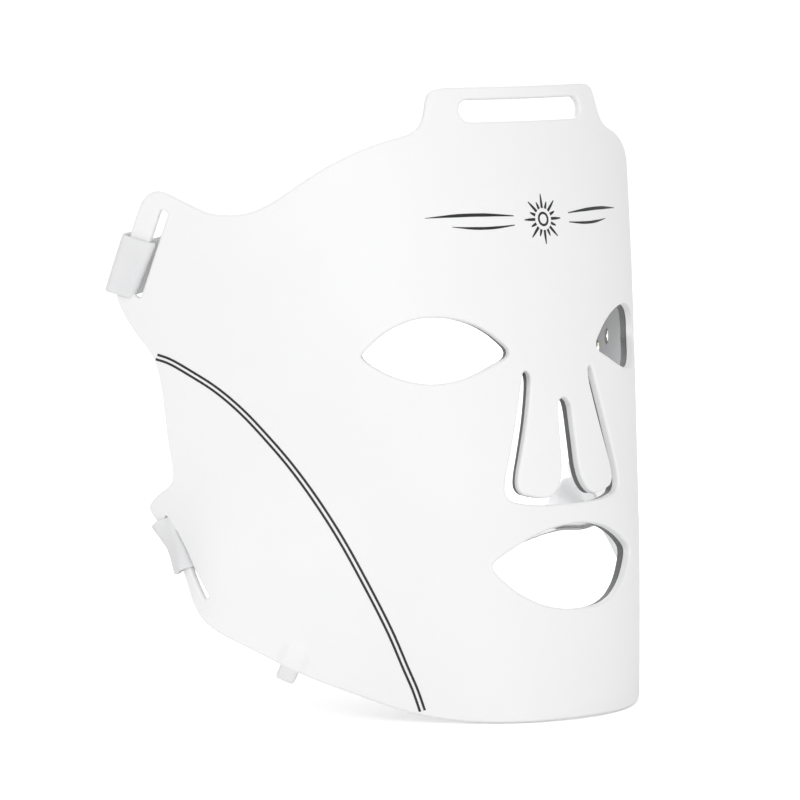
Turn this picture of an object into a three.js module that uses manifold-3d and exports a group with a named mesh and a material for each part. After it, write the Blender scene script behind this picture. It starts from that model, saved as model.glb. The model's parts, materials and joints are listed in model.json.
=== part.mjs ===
// LED face mask: a soft moulded sheet bent round the face, with a flexible LED
// circuit and a dark inner liner behind it, hinged nose flaps and two straps.
// Units are millimetres, +Z up, -Y is the way the face looks, +X is the
// wearer's left.  Everything that follows the sheet is placed in its flat
// pattern: u runs along the sheet from the centre line, v is the height above
// the chin, depth is measured inwards from the outer face.  Pattern points are
// [u, v]; side is +1 on the wearer's left and -1 on the right.
import * as THREE from 'three';
import Module from 'manifold-3d';

const manifold = await Module();
manifold.setup();

const SIDES = [[1, 'l'], [-1, 'r']];

// Shift that puts the bottom centre of the whole mask at the origin.
const SHIFT = [0, -61.9081, 0.0497];

// ---------- bend of the sheet ----------
const CHIN_RADIUS = 50.585;      // front bend radius at the chin
const RADIUS_GAIN = 0.2815;      // growth of that radius per mm of height
// The round front turns less at jaw height than at eye height, so the lower arms
// open outwards.  Pairs are [jaw, eye] values, blended over OPEN_HEIGHTS.
const OPEN_HEIGHTS = [40, 110];
const FRONT_HALF_ANGLE = [0.80, 0.9076];       // half angle of the round front, radians
const ARM_CURVATURE = [1 / 3000, 1 / 260];     // slight bend of the side arms
const CORNER_SOFTNESS = 6.0;     // how gradually the round front becomes the arm
// backward lean: a square law in the height above -LEAN_START, per 100 mm
const LEAN_START = 7.2;
const LEAN_LINEAR = 9.523;
const LEAN_SQUARE = 2.85;
// extra inward turn of the lower strap tab, centred on a height
const CURL = { angle: 50 * Math.PI / 180, height: 50, spread: 26, fromU: 114, toU: 140 };
const BEND_SAMPLES = 48;
const TANGENT_STEP = 0.05;

// ---------- layers: [outer, inner] depth ----------
const SHELL_T = 2.2;
const SHELL_DEPTHS = [0, SHELL_T];     // white outer sheet
const FILM_DEPTHS = [2.55, 2.7];       // flexible circuit film
const TRACE_DEPTHS = [2.98, 3.1];      // copper trace joining a row of LEDs
const LED_DEPTHS = [2.95, 3.85];       // LED packages
const LINER_DEPTHS = [3.35, 4.5];      // dark inner liner
const FILM_INSET = 1.8;                // film edge inside the liner edge
const OPENING_TRIM = 2.2;              // film stands back from eyes, nose and mouth

// ---------- front and arm split ----------
const FLEX_U = 82;                     // u of the line where the arms bend, at v = 0
const FLEX_SLOPE = 0.1;
const HALF_GAP = 1.2 / 2;              // half the gap between front and arm
const FLEX_STEP = 13;                  // point spacing along the flex line
const OUTLINE_STEP = 7;
const FLAP_STEP = 9;

const LATTICE_U = 7.0;                 // mesh spacing on the sheets
const LATTICE_V = 15;

// ---------- outlines, left half of the pattern, points [u, v] ----------
const SHELL_OUTLINE = {
  bottom: [
    [-11, 0.3], [0, 0.4], [11, 0.3], [22.6, 0.1], [36.2, 0.1], [47.2, 0.7], [58.6, 2.3],
    [66.7, 4.3], [74.7, 7.0], [82.8, 9.9], [92.7, 13.4], [98.8, 16.1], [105.4, 19.2],
    [110.7, 21.9], [117.0, 25.1], [122.9, 28.0], [126.8, 30.4], [130.7, 33.5],
    [134.3, 38.0], [137.2, 43.0], [140.3, 47.6],
  ],
  rear: [
    [146.3, 56.1], [152.3, 64.3], [153.3, 66.4], [152.6, 68.2], [150.6, 69.9], [148.0, 71.7],
    [145.5, 73.2], [141.9, 75.4], [140.2, 77.4], [139.6, 80], [140.1, 86], [140.7, 91.5],
    [140.9, 102.4], [141.0, 107.3], [141.6, 113.7], [142.7, 117.9], [144.7, 121.2],
    [147.3, 124.7], [150.1, 129.2], [152.2, 133.6], [153.2, 137.9], [150.6, 145.2],
    [147.4, 152.8], [144.6, 159.4], [141.8, 165.0], [139.2, 169.4], [136.7, 171.7],
    [134.1, 172.8],
  ],
  top: [
    [131.6, 172.6], [128.9, 171.5], [125.3, 169.7], [120.8, 167.6], [116.2, 165.9],
    [111, 165.4], [104.8, 165.9], [99.9, 167.3], [94.9, 169.6], [89.6, 172.8], [84.2, 176.2],
    [77.2, 180.4], [70.3, 183.9], [63.5, 186.8], [56.6, 189.2], [50, 191], [46.2, 192.1],
    [43.8, 193.5], [42.0, 195.4], [40.8, 197.8], [39.9, 200.4], [39.0, 203.2], [38.0, 204.9],
    [36, 206.1], [32.7, 206.6], [20, 206.7], [0, 206.7], [-20, 206.7],
  ],
};
// the liner stops short of the strap tabs and the outer edge
const LINER_OUTLINE = {
  bottom: [
    [-11, 1.8], [0, 1.9], [11, 1.8], [22.6, 1.6], [36, 1.6], [47, 2.2], [58.3, 3.8],
    [66.3, 5.8], [74.2, 8.5], [82.3, 11.4], [92.2, 14.9], [98.2, 17.5], [104.7, 20.6],
    [110, 23.3], [116.2, 26.5],
  ],
  rear: [
    [119.6, 28.6], [121.8, 31.2], [122.4, 35], [122.2, 42], [122.8, 54], [125.4, 70],
    [129, 88], [131.4, 108], [130.6, 124], [128.4, 138], [126.4, 150], [124.6, 158],
  ],
  top: [
    [121, 163.4], [116, 164.2], [111, 163.8], [104.8, 164.3], [99.5, 165.8], [94.2, 168.1],
    [88.8, 171.2], [83.4, 174.7], [76.4, 178.8], [69.6, 182.3], [62.9, 185.1], [56, 187.5],
    [49.6, 189.3], [40, 191.0], [20, 191.9], [0, 192.0], [-20, 191.9],
  ],
};
const EYE = [
  [70.6, 119.8], [67.3, 123.4], [62.4, 127.3], [56.9, 130.1], [51.2, 131.9], [45.1, 132.4],
  [38.5, 131.7], [31.8, 129.7], [26.5, 126.8], [22.5, 123.6], [20.5, 121.6], [20.3, 120.3],
  [21.4, 118.9], [26.2, 116.7], [32.5, 114.1], [40, 111.8], [48, 110.9], [55.5, 111.8],
  [61.8, 113.8], [66.4, 116.2], [69.6, 118.4],
];
const MOUTH_HALF = [
  [0, 63.6], [7.8, 63.0], [14.8, 61.4], [21.4, 58.8], [26.6, 56.2], [30.8, 53.7],
  [33.2, 51.8], [32.9, 50.4], [30.2, 47.0], [25.6, 43.0], [21.2, 40.4], [16.6, 38.3],
  [9.3, 36.5], [0, 36.0],
];
// nose opening: sharp points at the top, then a smooth curve down to the centre
const NOSE_TOP = [[0, 104.6], [2.5, 103.7]];
const NOSE_CURVE = [
  [12.8, 113.3], [14.3, 114.2], [16.0, 113.0], [18.4, 104.8], [21, 95.8], [23.7, 87.2],
  [26.2, 79.2], [26.7, 75.4], [25.9, 73.4], [24.4, 72.2], [18.5, 70.9], [12.1, 70.4],
  [0, 70.2],
];
// nose flap: points on its straight upper edge, then the smooth rest
const FLAP_TOP = [[3.0, 102.9], [7.9, 107.45]];
const FLAP_CURVE = [
  [12.9, 112.1], [13.6, 109.5], [16.3, 98.2], [19.7, 87], [21.9, 79.6], [22, 76.4],
  [20.7, 74.5], [14.3, 72.8], [11.4, 72.6], [9.2, 73.1], [7, 74.7], [5.2, 77.2],
  [3.8, 81.8], [3.4, 89.3], [3.1, 97.4],
];
// round-ended slots: half is half the overall length, dir runs along the slot
const TOP_SLOT = { centre: [0, 199], half: 28, radius: 3.7, dir: [1, 0] };
const UPPER_SLOT = { centre: [137.9, 151.7], half: 16, radius: 2.3, dir: [0.444, -0.896] };
const LOWER_SLOT = { centre: [136.5, 53.2], half: 15.4, radius: 2.15, dir: [0.589, 0.808] };
const SLOT_STEP = 7;

// ---------- LED rows: [from, to, LED count] ----------
const ROWS_FRONT = {
  forehead_inner: [[13, 128], [13, 186], 5],
  forehead_middle: [[40, 143], [40, 185], 4],
  forehead_outer: [[66, 138], [66, 176], 3],
  cheek_inner: [[42, 15], [42, 96], 6],
  cheek_outer: [[66, 20], [66, 101], 6],
};
const ROWS_WING = {
  wing_front: [[105, 33], [105, 150], 8],
  wing_rear: [[117.5, 38], [117.5, 148], 7],
};
const ROW_CHIN = [[-28, 17], [28, 17], 5];
const ROW_FLAP = [[9.6, 96], [12.6, 82], 2];
const LED_W = 2.8;
const LED_L = 3.5;
const TRACE_W = 1.6;
const TRACE_OVERRUN = 2.6;       // trace beyond the outermost LED centres
const WINDOW_R = 3.3;            // corner radius of the hexagonal liner windows

// ---------- power port, on the lower edge of the right arm ----------
const PORT = {
  centre: [102.0, 17.6],         // [|u|, v] on the edge
  along: [0.905, 0.425],         // pattern direction along the edge
  width: 6.4, thickness: 6.2, corner: 1.6,
  inLength: 7.0, outLength: 4.4, // reach inside and outside the edge
  depth: SHELL_T / 2 + 1.05,     // depth of its axis
  clearance: 0.3,                // gap to the notch in the sheet
};
PORT.out = [PORT.along[1], -PORT.along[0]];
const BORE = { radius: 2.05, depth: 8.6, length: 9.2 };
const SLEEVE = { recess: 0.3, length: 8, inner: 1.35, outer: 1.8, hole: 1.0, base: 0.6 };
const PIN = { recess: 1.2, taper: 0.4, tipRadius: 0.3, radius: 0.45, rootGap: 0.1 };

// ---------- straps ----------
const STRAP_W = 19;
const STRAP_T = 1.0;
const STRAP_OFFSET = 1.8;        // each half's distance from their common plane
const STRAP_TIP = 30;            // reach of each half past the centre
const PATCH = { length: 56, width: 17, thickness: 0.9, gap: 0.25, tipMargin: 2 };
// turn picks the side of the slot the bar is on; shift moves the strap along the
// slot, bar is the bar's width, lift the height of the loop over it
const STRAPS = {
  upper: { slot: UPPER_SLOT, turn: 1, shift: 5.0, bar: 6.9, lift: 3.8 },
  lower: { slot: LOWER_SLOT, turn: -1, shift: 3.5, bar: 4.3, lift: 4.6 },
};

// ---------- the curved sheet ----------
function smootherStep(value) {
  const x = Math.min(1, Math.max(0, value));
  return x * x * x * (x * (6 * x - 15) + 10);
}
const softplus = x => Math.log1p(Math.exp(x));

// direction of the sheet in plan after running the given length from the centre
function bendAngle(length, v) {
  const open = smootherStep((v - OPEN_HEIGHTS[0]) / (OPEN_HEIGHTS[1] - OPEN_HEIGHTS[0]));
  const blend = ([jaw, eye]) => jaw + (eye - jaw) * open;
  const radius = CHIN_RADIUS + RADIUS_GAIN * v;
  const frontEnd = blend(FRONT_HALF_ANGLE) * radius;
  const armCurvature = blend(ARM_CURVATURE);
  const soft = CORNER_SOFTNESS;
  const frontLength = length - soft * softplus((length - frontEnd) / soft)
    + soft * softplus(-frontEnd / soft);
  const curl = CURL.angle * Math.exp(-(((v - CURL.height) / CURL.spread) ** 2));
  return armCurvature * length + (1 / radius - armCurvature) * frontLength
    + curl * smootherStep((length - CURL.fromU) / (CURL.toU - CURL.fromU));
}

function facePoint(u, v) {
  const length = Math.abs(u);
  let x = 0;
  let y = 0;
  for (let i = 0; i < BEND_SAMPLES; i++) {
    const angle = bendAngle(length * (i + 0.5) / BEND_SAMPLES, v);
    x += Math.cos(angle);
    y += Math.sin(angle);
  }
  const rise = (v + LEAN_START) / 100;
  const lean = LEAN_LINEAR * rise + LEAN_SQUARE * rise * rise;
  return new THREE.Vector3(
    Math.sign(u) * x * length / BEND_SAMPLES, y * length / BEND_SAMPLES + lean, v);
}

// unit vector from one point in space to another
const heading = (from, to) => to.clone().sub(from).normalize();

const upTangent = (u, v) =>
  heading(facePoint(u, v - TANGENT_STEP), facePoint(u, v + TANGENT_STEP));

function outwardNormal(u, v) {
  const across = heading(facePoint(u - TANGENT_STEP, v), facePoint(u + TANGENT_STEP, v));
  return across.cross(upTangent(u, v)).normalize();
}

const sheetPoint = (u, v, depth) =>
  facePoint(u, v).addScaledVector(outwardNormal(u, v), -depth);

// ---------- flat pattern helpers ----------
const last = list => list[list.length - 1];
const distance = (from, to) => Math.hypot(to[0] - from[0], to[1] - from[1]);
const onSide = (points, side) => points.map(([u, v]) => [side * u, v]);
const pointAlong = (from, to, step, steps = 1) =>
  [0, 1].map(axis => from[axis] + (to[axis] - from[axis]) * step / steps);
const moved = (point, dir, length) =>
  [point[0] + dir[0] * length, point[1] + dir[1] * length];

function flatDirection(from, to) {
  const length = distance(from, to);
  return [(to[0] - from[0]) / length, (to[1] - from[1]) / length];
}

// points strictly between two others, at roughly the given spacing
function between(from, to, spacing) {
  const count = Math.max(1, Math.round(distance(from, to) / spacing));
  return Array.from({ length: count - 1 }, (_, i) => pointAlong(from, to, i + 1, count));
}

function spline(points, spacing, closed = false) {
  const controls = points.map(([u, v]) => new THREE.Vector3(u, v, 0));
  const curve = new THREE.CatmullRomCurve3(controls, closed, 'centripetal');
  const spans = closed ? points.length : points.length - 1;
  const result = [];
  for (let i = 0; i < spans; i++) {
    const length = distance(points[i], points[(i + 1) % points.length]);
    const steps = Math.max(1, Math.round(length / spacing));
    for (let j = 0; j < steps; j++) {
      const { x, y } = curve.getPoint((i + j / steps) / spans);
      result.push([x, y]);
    }
  }
  if (!closed) result.push(last(points));
  return result;
}

// the part of an open chain on one side of the flex line: keep = -1 front, +1 arm
function clip(chain, keep) {
  const beyond = ([u, v]) => keep * (u - (FLEX_U + FLEX_SLOPE * v)) - HALF_GAP;
  const result = [];
  for (let i = 0; i < chain.length; i++) {
    const here = beyond(chain[i]);
    const before = i ? beyond(chain[i - 1]) : here;
    if ((before > 0) !== (here > 0)) {
      const crossing = pointAlong(chain[i - 1], chain[i], before / (before - here));
      // a crossing close to the previous point replaces it
      if (result.length && distance(last(result), crossing) <= 0.6) result.pop();
      result.push(crossing);
    }
    if (here > 0.5) result.push(chain[i]);
  }
  return result;
}

function flexPoints(fromV, toV, keep) {
  const point = v => [FLEX_U + FLEX_SLOPE * v + keep * HALF_GAP, v];
  return between(point(fromV), point(toV), FLEX_STEP);
}

function stadium({ centre, half, radius, dir }) {
  const ends = [];
  for (const end of [1, -1]) {
    for (let i = 0; i <= 6; i++) {
      const angle = Math.PI * (i / 6 - 0.5);
      const x = end * (half - radius + radius * Math.cos(angle));
      const y = end * radius * Math.sin(angle);
      ends.push([
        centre[0] + x * dir[0] - y * dir[1],
        centre[1] + x * dir[1] + y * dir[0],
      ]);
    }
  }
  return ends.flatMap((point, i) =>
    [point, ...between(point, ends[(i + 1) % ends.length], SLOT_STEP)]);
}

function signedArea(loop) {
  return loop.reduce((sum, point, i) => {
    const next = loop[(i + 1) % loop.length];
    return sum + point[0] * next[1] - next[0] * point[1];
  }, 0) / 2;
}

// a positive amount shrinks the loop
function inset(loop, amount) {
  const turn = Math.sign(signedArea(loop));
  const inward = (from, to) => {
    const [x, y] = flatDirection(from, to);
    return [-y * turn, x * turn];
  };
  return loop.map((point, i) => {
    const before = inward(loop[(i + loop.length - 1) % loop.length], point);
    const after = inward(point, loop[(i + 1) % loop.length]);
    const scale = amount / Math.max(0.7, 1 + before[0] * after[0] + before[1] * after[1]);
    return moved(point, [before[0] + after[0], before[1] + after[1]], scale);
  });
}

// ---------- outline loops ----------
const closedHalf = half => [...half, ...onSide(half, -1).reverse().slice(1, -1)];

function frontLoop({ bottom, top }) {
  const halfEdge = points =>
    clip(spline(points, OUTLINE_STEP), -1).filter(([u]) => u > -0.01);
  const lower = halfEdge(bottom);
  const upper = halfEdge(top);
  return closedHalf([...lower, ...flexPoints(last(lower)[1], upper[0][1], -1), ...upper]);
}

function wingLoop({ bottom, rear, top }, side, shrink = 0) {
  const chain = clip(spline([...bottom, ...rear, ...top], OUTLINE_STEP), 1);
  let loop = [...chain, ...flexPoints(last(chain)[1], chain[0][1], 1)];
  if (shrink) loop = inset(loop, shrink);
  if (side < 0) loop = notched(loop);
  return onSide(loop, side);
}

// pattern point in the port's axes: x along the edge, y out of the sheet's edge
const portPoint = (x, y) => [0, 1].map(axis =>
  PORT.centre[axis] + PORT.along[axis] * x + PORT.out[axis] * y);

// opens a lower edge for the power port
function notched(loop) {
  const halfWidth = PORT.width / 2 + PORT.clearance;
  const depth = PORT.inLength + PORT.clearance;
  const project = (point, dir) =>
    (point[0] - PORT.centre[0]) * dir[0] + (point[1] - PORT.centre[1]) * dir[1];
  const result = [];
  let done = false;
  for (const point of loop) {
    const edge = project(point, PORT.out);
    const atPort = Math.abs(project(point, PORT.along)) < halfWidth + 1.2
      && Math.abs(edge) < 6;
    if (!atPort) {
      result.push(point);
    } else if (!done) {
      result.push(portPoint(-halfWidth, edge), portPoint(-halfWidth, -depth));
      result.push(portPoint(halfWidth, -depth), portPoint(halfWidth, edge));
      done = true;
    }
  }
  return result;
}

const eye = side => onSide(spline(EYE, OUTLINE_STEP, true), side);
const slot = (shape, side) => onSide(stadium(shape), side);
const flap = side => onSide([...FLAP_TOP, ...spline(FLAP_CURVE, FLAP_STEP)], side);
const mouth = closedHalf(spline(MOUTH_HALF, OUTLINE_STEP));
const nose = closedHalf([...NOSE_TOP, ...spline(NOSE_CURVE, FLAP_STEP)]);
const faceOpenings = [eye(1), eye(-1), mouth, nose];

// ---------- triangulation of a flat loop with holes ----------
// v is squeezed by STRETCH, so triangles are long where the sheet is straight
const STRETCH = LATTICE_U / LATTICE_V;
const ROW_RATIO = 0.866;         // lattice row spacing over point spacing
const FLAT = 1e-9;               // smallest cross product counted as a turn

const cross = (a, b, c) => (b[0] - a[0]) * (c[1] - a[1]) - (b[1] - a[1]) * (c[0] - a[0]);

function inside(point, loop) {
  let result = false;
  loop.forEach((here, i) => {
    const before = loop[(i + loop.length - 1) % loop.length];
    if ((here[1] > point[1]) !== (before[1] > point[1])
      && point[0] < (before[0] - here[0]) * (point[1] - here[1]) / (before[1] - here[1])
        + here[0]) result = !result;
  });
  return result;
}

function nearLoop(point, loop, limit) {
  return loop.some((from, i) => {
    const to = loop[(i + 1) % loop.length];
    const dx = to[0] - from[0];
    const dy = to[1] - from[1];
    const along = ((point[0] - from[0]) * dx + (point[1] - from[1]) * dy)
      / (dx * dx + dy * dy);
    const share = Math.min(1, Math.max(0, along));
    return Math.hypot(point[0] - from[0] - share * dx, point[1] - from[1] - share * dy)
      < limit;
  });
}

// Splits triangles at lattice points that lie inside the sheet and off its edges.
// Rows are anchored to the pattern, so every layer bends at the same places; the
// small offsets keep points off shared lines and circles.
function addLattice(loops, points, triangles) {
  const xs = loops[0].map(point => point[0]);
  const ys = loops[0].map(point => point[1]);
  const maxX = Math.max(...xs);
  const maxY = Math.max(...ys);
  const firstRow = Math.floor(Math.min(...ys) / LATTICE_U / ROW_RATIO);
  const firstColumn = Math.floor(Math.min(...xs) / LATTICE_U) - 1;
  for (let row = firstRow; row * LATTICE_U * ROW_RATIO < maxY; row++) {
    for (let i = firstColumn; i * LATTICE_U < maxX; i++) {
      const y = row * LATTICE_U * ROW_RATIO;
      const x = (i + Math.abs(row % 2) / 2 + 0.013) * LATTICE_U + 1e-3 * y;
      const point = [x, y + 0.017 + 1e-3 * i];
      if (!inside(point, loops[0])) continue;
      if (loops.slice(1).some(hole => inside(point, hole))) continue;
      if (loops.some(loop => nearLoop(point, loop, 0.5 * LATTICE_U))) continue;
      const found = triangles.findIndex(corners => corners.every((corner, j) =>
        cross(points[corner], points[corners[(j + 1) % 3]], point) > FLAT));
      if (found < 0) continue;
      const [a, b, c] = triangles[found];
      const added = points.push(point) - 1;
      triangles[found] = [a, b, added];
      triangles.push([b, c, added], [c, a, added]);
    }
  }
}

// positive when d lies inside the circle through a, b and c
function circleTest(a, b, c, d) {
  const ax = a[0] - d[0], ay = a[1] - d[1];
  const bx = b[0] - d[0], by = b[1] - d[1];
  const cx = c[0] - d[0], cy = c[1] - d[1];
  return (ax * ax + ay * ay) * (bx * cy - cx * by)
    - (bx * bx + by * by) * (ax * cy - cx * ay)
    + (cx * cx + cy * cy) * (ax * by - bx * ay);
}

// one round of edge flips, each triangle taking part at most once
function flipEdges(points, triangles) {
  const owner = new Map();
  const used = new Set();
  triangles.forEach((corners, index) => {
    for (let i = 0; i < 3; i++) owner.set(corners[i] + '_' + corners[(i + 1) % 3], index);
  });
  for (let index = 0; index < triangles.length; index++) {
    if (used.has(index)) continue;
    for (let i = 0; i < 3; i++) {
      const [a, b, c] = [0, 1, 2].map(j => triangles[index][(i + j) % 3]);
      const other = owner.get(b + '_' + a);
      if (other === undefined || other < index || used.has(other)) continue;
      const d = triangles[other].find(corner => corner !== a && corner !== b);
      const [pa, pb, pc, pd] = [a, b, c, d].map(corner => points[corner]);
      if (cross(pc, pa, pd) <= FLAT || cross(pd, pb, pc) <= FLAT) continue;
      if (circleTest(pa, pb, pc, pd) > 1e-7) {
        triangles[index] = [c, a, d];
        triangles[other] = [d, b, c];
        used.add(index).add(other);
        break;
      }
    }
  }
  return used.size > 0;
}

function triangulate(loops, lattice) {
  const squeezed = loops.map(loop => loop.map(([u, v]) => [u, v * STRETCH]));
  const points = squeezed.flat();
  const [contour, ...holes] = squeezed.map(loop =>
    loop.map(([x, y]) => new THREE.Vector2(x, y)));
  const triangles = THREE.ShapeUtils.triangulateShape(contour, holes).map(([a, b, c]) =>
    cross(points[a], points[b], points[c]) < 0 ? [a, c, b] : [a, b, c]);
  if (lattice) addLattice(squeezed, points, triangles);
  let pass = 0;
  while (pass < 60 && flipEdges(points, triangles)) pass++;
  return { points: points.map(([x, y]) => [x, y / STRETCH]), triangles };
}

// ---------- solids ----------
// indexed geometry with its faces turned outwards
function solid(vertices, triangles) {
  let volume = 0;
  for (const [a, b, c] of triangles) {
    volume += vertices[a].dot(new THREE.Vector3().crossVectors(vertices[b], vertices[c]));
  }
  const geometry = new THREE.BufferGeometry();
  const positions = vertices.flatMap(({ x, y, z }) => [x, y, z]);
  geometry.setAttribute('position', new THREE.Float32BufferAttribute(positions, 3));
  geometry.setIndex(triangles.flatMap(([a, b, c]) => volume < 0 ? [a, c, b] : [a, b, c]));
  return geometry;
}

// a curved sheet between two depths; the first loop is the outline, the rest holes
function sheet(loops, depths, lattice = true) {
  const { points, triangles } = triangulate(loops, lattice);
  const count = points.length;
  const vertices = depths.flatMap(depth => points.map(([u, v]) => sheetPoint(u, v, depth)));
  const faces = [];
  const edges = new Set();
  for (const corners of triangles) {
    const [a, b, c] = corners;
    faces.push(corners, [a + count, c + count, b + count]);
    for (let i = 0; i < 3; i++) edges.add(corners[i] + '_' + corners[(i + 1) % 3]);
  }
  // walls along the edges that belong to one triangle only
  for (const corners of triangles) {
    for (let i = 0; i < 3; i++) {
      const a = corners[i];
      const b = corners[(i + 1) % 3];
      if (!edges.has(b + '_' + a)) faces.push([b, a, a + count], [b, a + count, b + count]);
    }
  }
  return solid(vertices, faces);
}

// a four-sided bar; vertices come as stations of four corners each
function bar(vertices) {
  const end = vertices.length - 4;
  const triangles = [];
  for (let start = 0; start < end; start += 4) {
    for (let i = 0; i < 4; i++) {
      const a = start + i;
      const b = start + (i + 1) % 4;
      triangles.push([a, b, b + 4], [a, b + 4, a + 4]);
    }
  }
  triangles.push([0, 2, 1], [0, 3, 2], [end, end + 1, end + 2], [end, end + 2, end + 3]);
  return solid(vertices, triangles);
}

// a bar that follows the sheet along a straight run in the pattern
function band({ from, to, width, depths: [outer, inner], steps }) {
  const [dirU, dirV] = flatDirection(from, to);
  const vertices = [];
  for (let i = 0; i <= steps; i++) {
    const centre = pointAlong(from, to, i, steps);
    for (const [edge, depth] of [[-1, outer], [1, outer], [1, inner], [-1, inner]]) {
      const [u, v] = moved(centre, [-dirV, dirU], edge * width / 2);
      vertices.push(sheetPoint(u, v, depth));
    }
  }
  return bar(vertices);
}

// merges coincident vertices and drops collapsed triangles
function weld(geometry) {
  const { position } = (geometry.index ? geometry.toNonIndexed() : geometry).attributes;
  const known = new Map();
  const vertices = [];
  const triangles = [];
  for (let i = 0; i < position.count; i += 3) {
    const corners = [i, i + 1, i + 2].map(index => {
      const vertex = new THREE.Vector3().fromBufferAttribute(position, index);
      const key = vertex.toArray().map(value => Math.round(value * 1e4)).join();
      if (!known.has(key)) known.set(key, vertices.push(vertex) - 1);
      return known.get(key);
    });
    if (new Set(corners).size === 3) triangles.push(corners);
  }
  return solid(vertices, triangles);
}

const toManifold = geometry => new manifold.Manifold(new manifold.Mesh({
  numProp: 3,
  vertProperties: new Float32Array(geometry.attributes.position.array),
  triVerts: new Uint32Array(geometry.index.array),
}));

function fromManifold(body) {
  const mesh = body.getMesh();
  const positions = new Float32Array(mesh.vertProperties);
  const geometry = new THREE.BufferGeometry();
  geometry.setAttribute('position', new THREE.BufferAttribute(positions, 3));
  geometry.setIndex(Array.from(mesh.triVerts));
  return geometry;
}
const join = parts => fromManifold(parts.map(toManifold).reduce((a, b) => a.add(b)));
const cut = (body, tool) => fromManifold(toManifold(body).subtract(toManifold(tool)));

// ---------- scene graph ----------
const root = new THREE.Group();
const MATERIALS = {
  silicone_white: { color: 0xf3f3f2, roughness: 0.55, metalness: 0 },
  liner_grey: { color: 0x4d4f52, roughness: 0.6, metalness: 0 },
  flex_film: { color: 0xb9762e, roughness: 0.45, metalness: 0.1 },
  led: { color: 0xf0e9c8, roughness: 0.3, metalness: 0 },
  strap: { color: 0xf0f0f1, roughness: 0.8, metalness: 0 },
  fastener: { color: 0xe6e6e6, roughness: 0.95, metalness: 0 },
  metal: { color: 0xc9ccd0, roughness: 0.3, metalness: 1 },
};

function add(name, geometry, material) {
  geometry.computeVertexNormals();
  const mesh = new THREE.Mesh(geometry, new THREE.MeshStandardMaterial(MATERIALS[material]));
  mesh.name = name;
  mesh.position.set(...SHIFT);
  root.add(mesh);
}

// ---------- LEDs ----------
const ledSpots = ([from, to, count], side = 1) => onSide(
  Array.from({ length: count }, (_, i) => pointAlong(from, to, i, count - 1)), side);

// hexagonal liner opening round one LED
const windowAt = ([u, v]) => Array.from({ length: 6 }, (_, i) => {
  const angle = (i + 0.5) * Math.PI / 3;
  return [u + WINDOW_R * Math.cos(angle), v + WINDOW_R * Math.sin(angle)];
});

// a trace with its LEDs
function addLedRow(name, row, side = 1) {
  const [from, to] = onSide([row[0], row[1]], side);
  const dir = flatDirection(from, to);
  const crosswise = Math.abs(dir[0]) > 0.5;
  const trace = band({
    from: moved(from, dir, -TRACE_OVERRUN),
    to: moved(to, dir, TRACE_OVERRUN),
    width: TRACE_W,
    depths: TRACE_DEPTHS,
    steps: crosswise ? 10 : Math.max(1, Math.round(distance(from, to) / 9)),
  });
  const leds = ledSpots(row, side).map(spot => band({
    from: moved(spot, dir, -LED_L / 2),
    to: moved(spot, dir, LED_L / 2),
    width: LED_W,
    depths: LED_DEPTHS,
    steps: 1,
  }));
  add('led_row_' + name, join([trace, ...leds]), 'led');
}

// ---------- front ----------
function addFront() {
  const shellLoops = [frontLoop(SHELL_OUTLINE), ...faceOpenings, stadium(TOP_SLOT)];
  add('outer_shell_front', sheet(shellLoops, SHELL_DEPTHS), 'silicone_white');

  const liner = frontLoop(LINER_OUTLINE);
  const spots = [1, -1].flatMap(side =>
    Object.values(ROWS_FRONT).flatMap(row => ledSpots(row, side)));
  spots.push(...ledSpots(ROW_CHIN));
  const linerLoops = [liner, ...faceOpenings, ...spots.map(windowAt)];
  add('inner_liner_front', sheet(linerLoops, LINER_DEPTHS), 'liner_grey');

  const filmHoles = faceOpenings.map(loop => inset(loop, -OPENING_TRIM));
  const film = sheet([inset(liner, FILM_INSET), ...filmHoles], FILM_DEPTHS);
  add('flex_circuit_front', film, 'flex_film');
  addLedRow('chin', ROW_CHIN);
}

// ---------- side arms ----------
function addWing(side, tag) {
  const slots = [slot(UPPER_SLOT, side), slot(LOWER_SLOT, side)];
  const shell = sheet([wingLoop(SHELL_OUTLINE, side), ...slots], SHELL_DEPTHS);
  add('outer_shell_wing_' + tag, shell, 'silicone_white');

  const windows = Object.values(ROWS_WING).flatMap(row => ledSpots(row, side)).map(windowAt);
  const liner = sheet([wingLoop(LINER_OUTLINE, side), ...windows], LINER_DEPTHS);
  add('inner_liner_wing_' + tag, liner, 'liner_grey');

  const film = sheet([wingLoop(LINER_OUTLINE, side, FILM_INSET)], FILM_DEPTHS);
  add('flex_circuit_wing_' + tag, film, 'flex_film');
}

// ---------- nose flaps ----------
function addNoseFlap(side, tag) {
  const outline = flap(side);
  const windows = ledSpots(ROW_FLAP, side).map(windowAt);
  add('nose_flap_' + tag, sheet([outline], SHELL_DEPTHS, false), 'silicone_white');
  const liner = sheet([outline, ...windows], LINER_DEPTHS, false);
  add('nose_flap_liner_' + tag, liner, 'liner_grey');
  addLedRow('nose_flap_' + tag, ROW_FLAP, side);
}

// ---------- power port ----------
function roundedRectangle(halfWidth, halfHeight, radius) {
  const right = halfWidth - radius;
  const top = halfHeight - radius;
  const shape = new THREE.Shape();
  shape.moveTo(-right, -halfHeight);
  shape.lineTo(right, -halfHeight);
  shape.absarc(right, -top, radius, -Math.PI / 2, 0);
  shape.lineTo(halfWidth, top);
  shape.absarc(right, top, radius, 0, Math.PI / 2);
  shape.lineTo(-right, halfHeight);
  shape.absarc(-right, top, radius, Math.PI / 2, Math.PI);
  shape.lineTo(-halfWidth, -top);
  shape.absarc(-right, -top, radius, Math.PI, Math.PI * 1.5);
  return shape;
}

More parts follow.
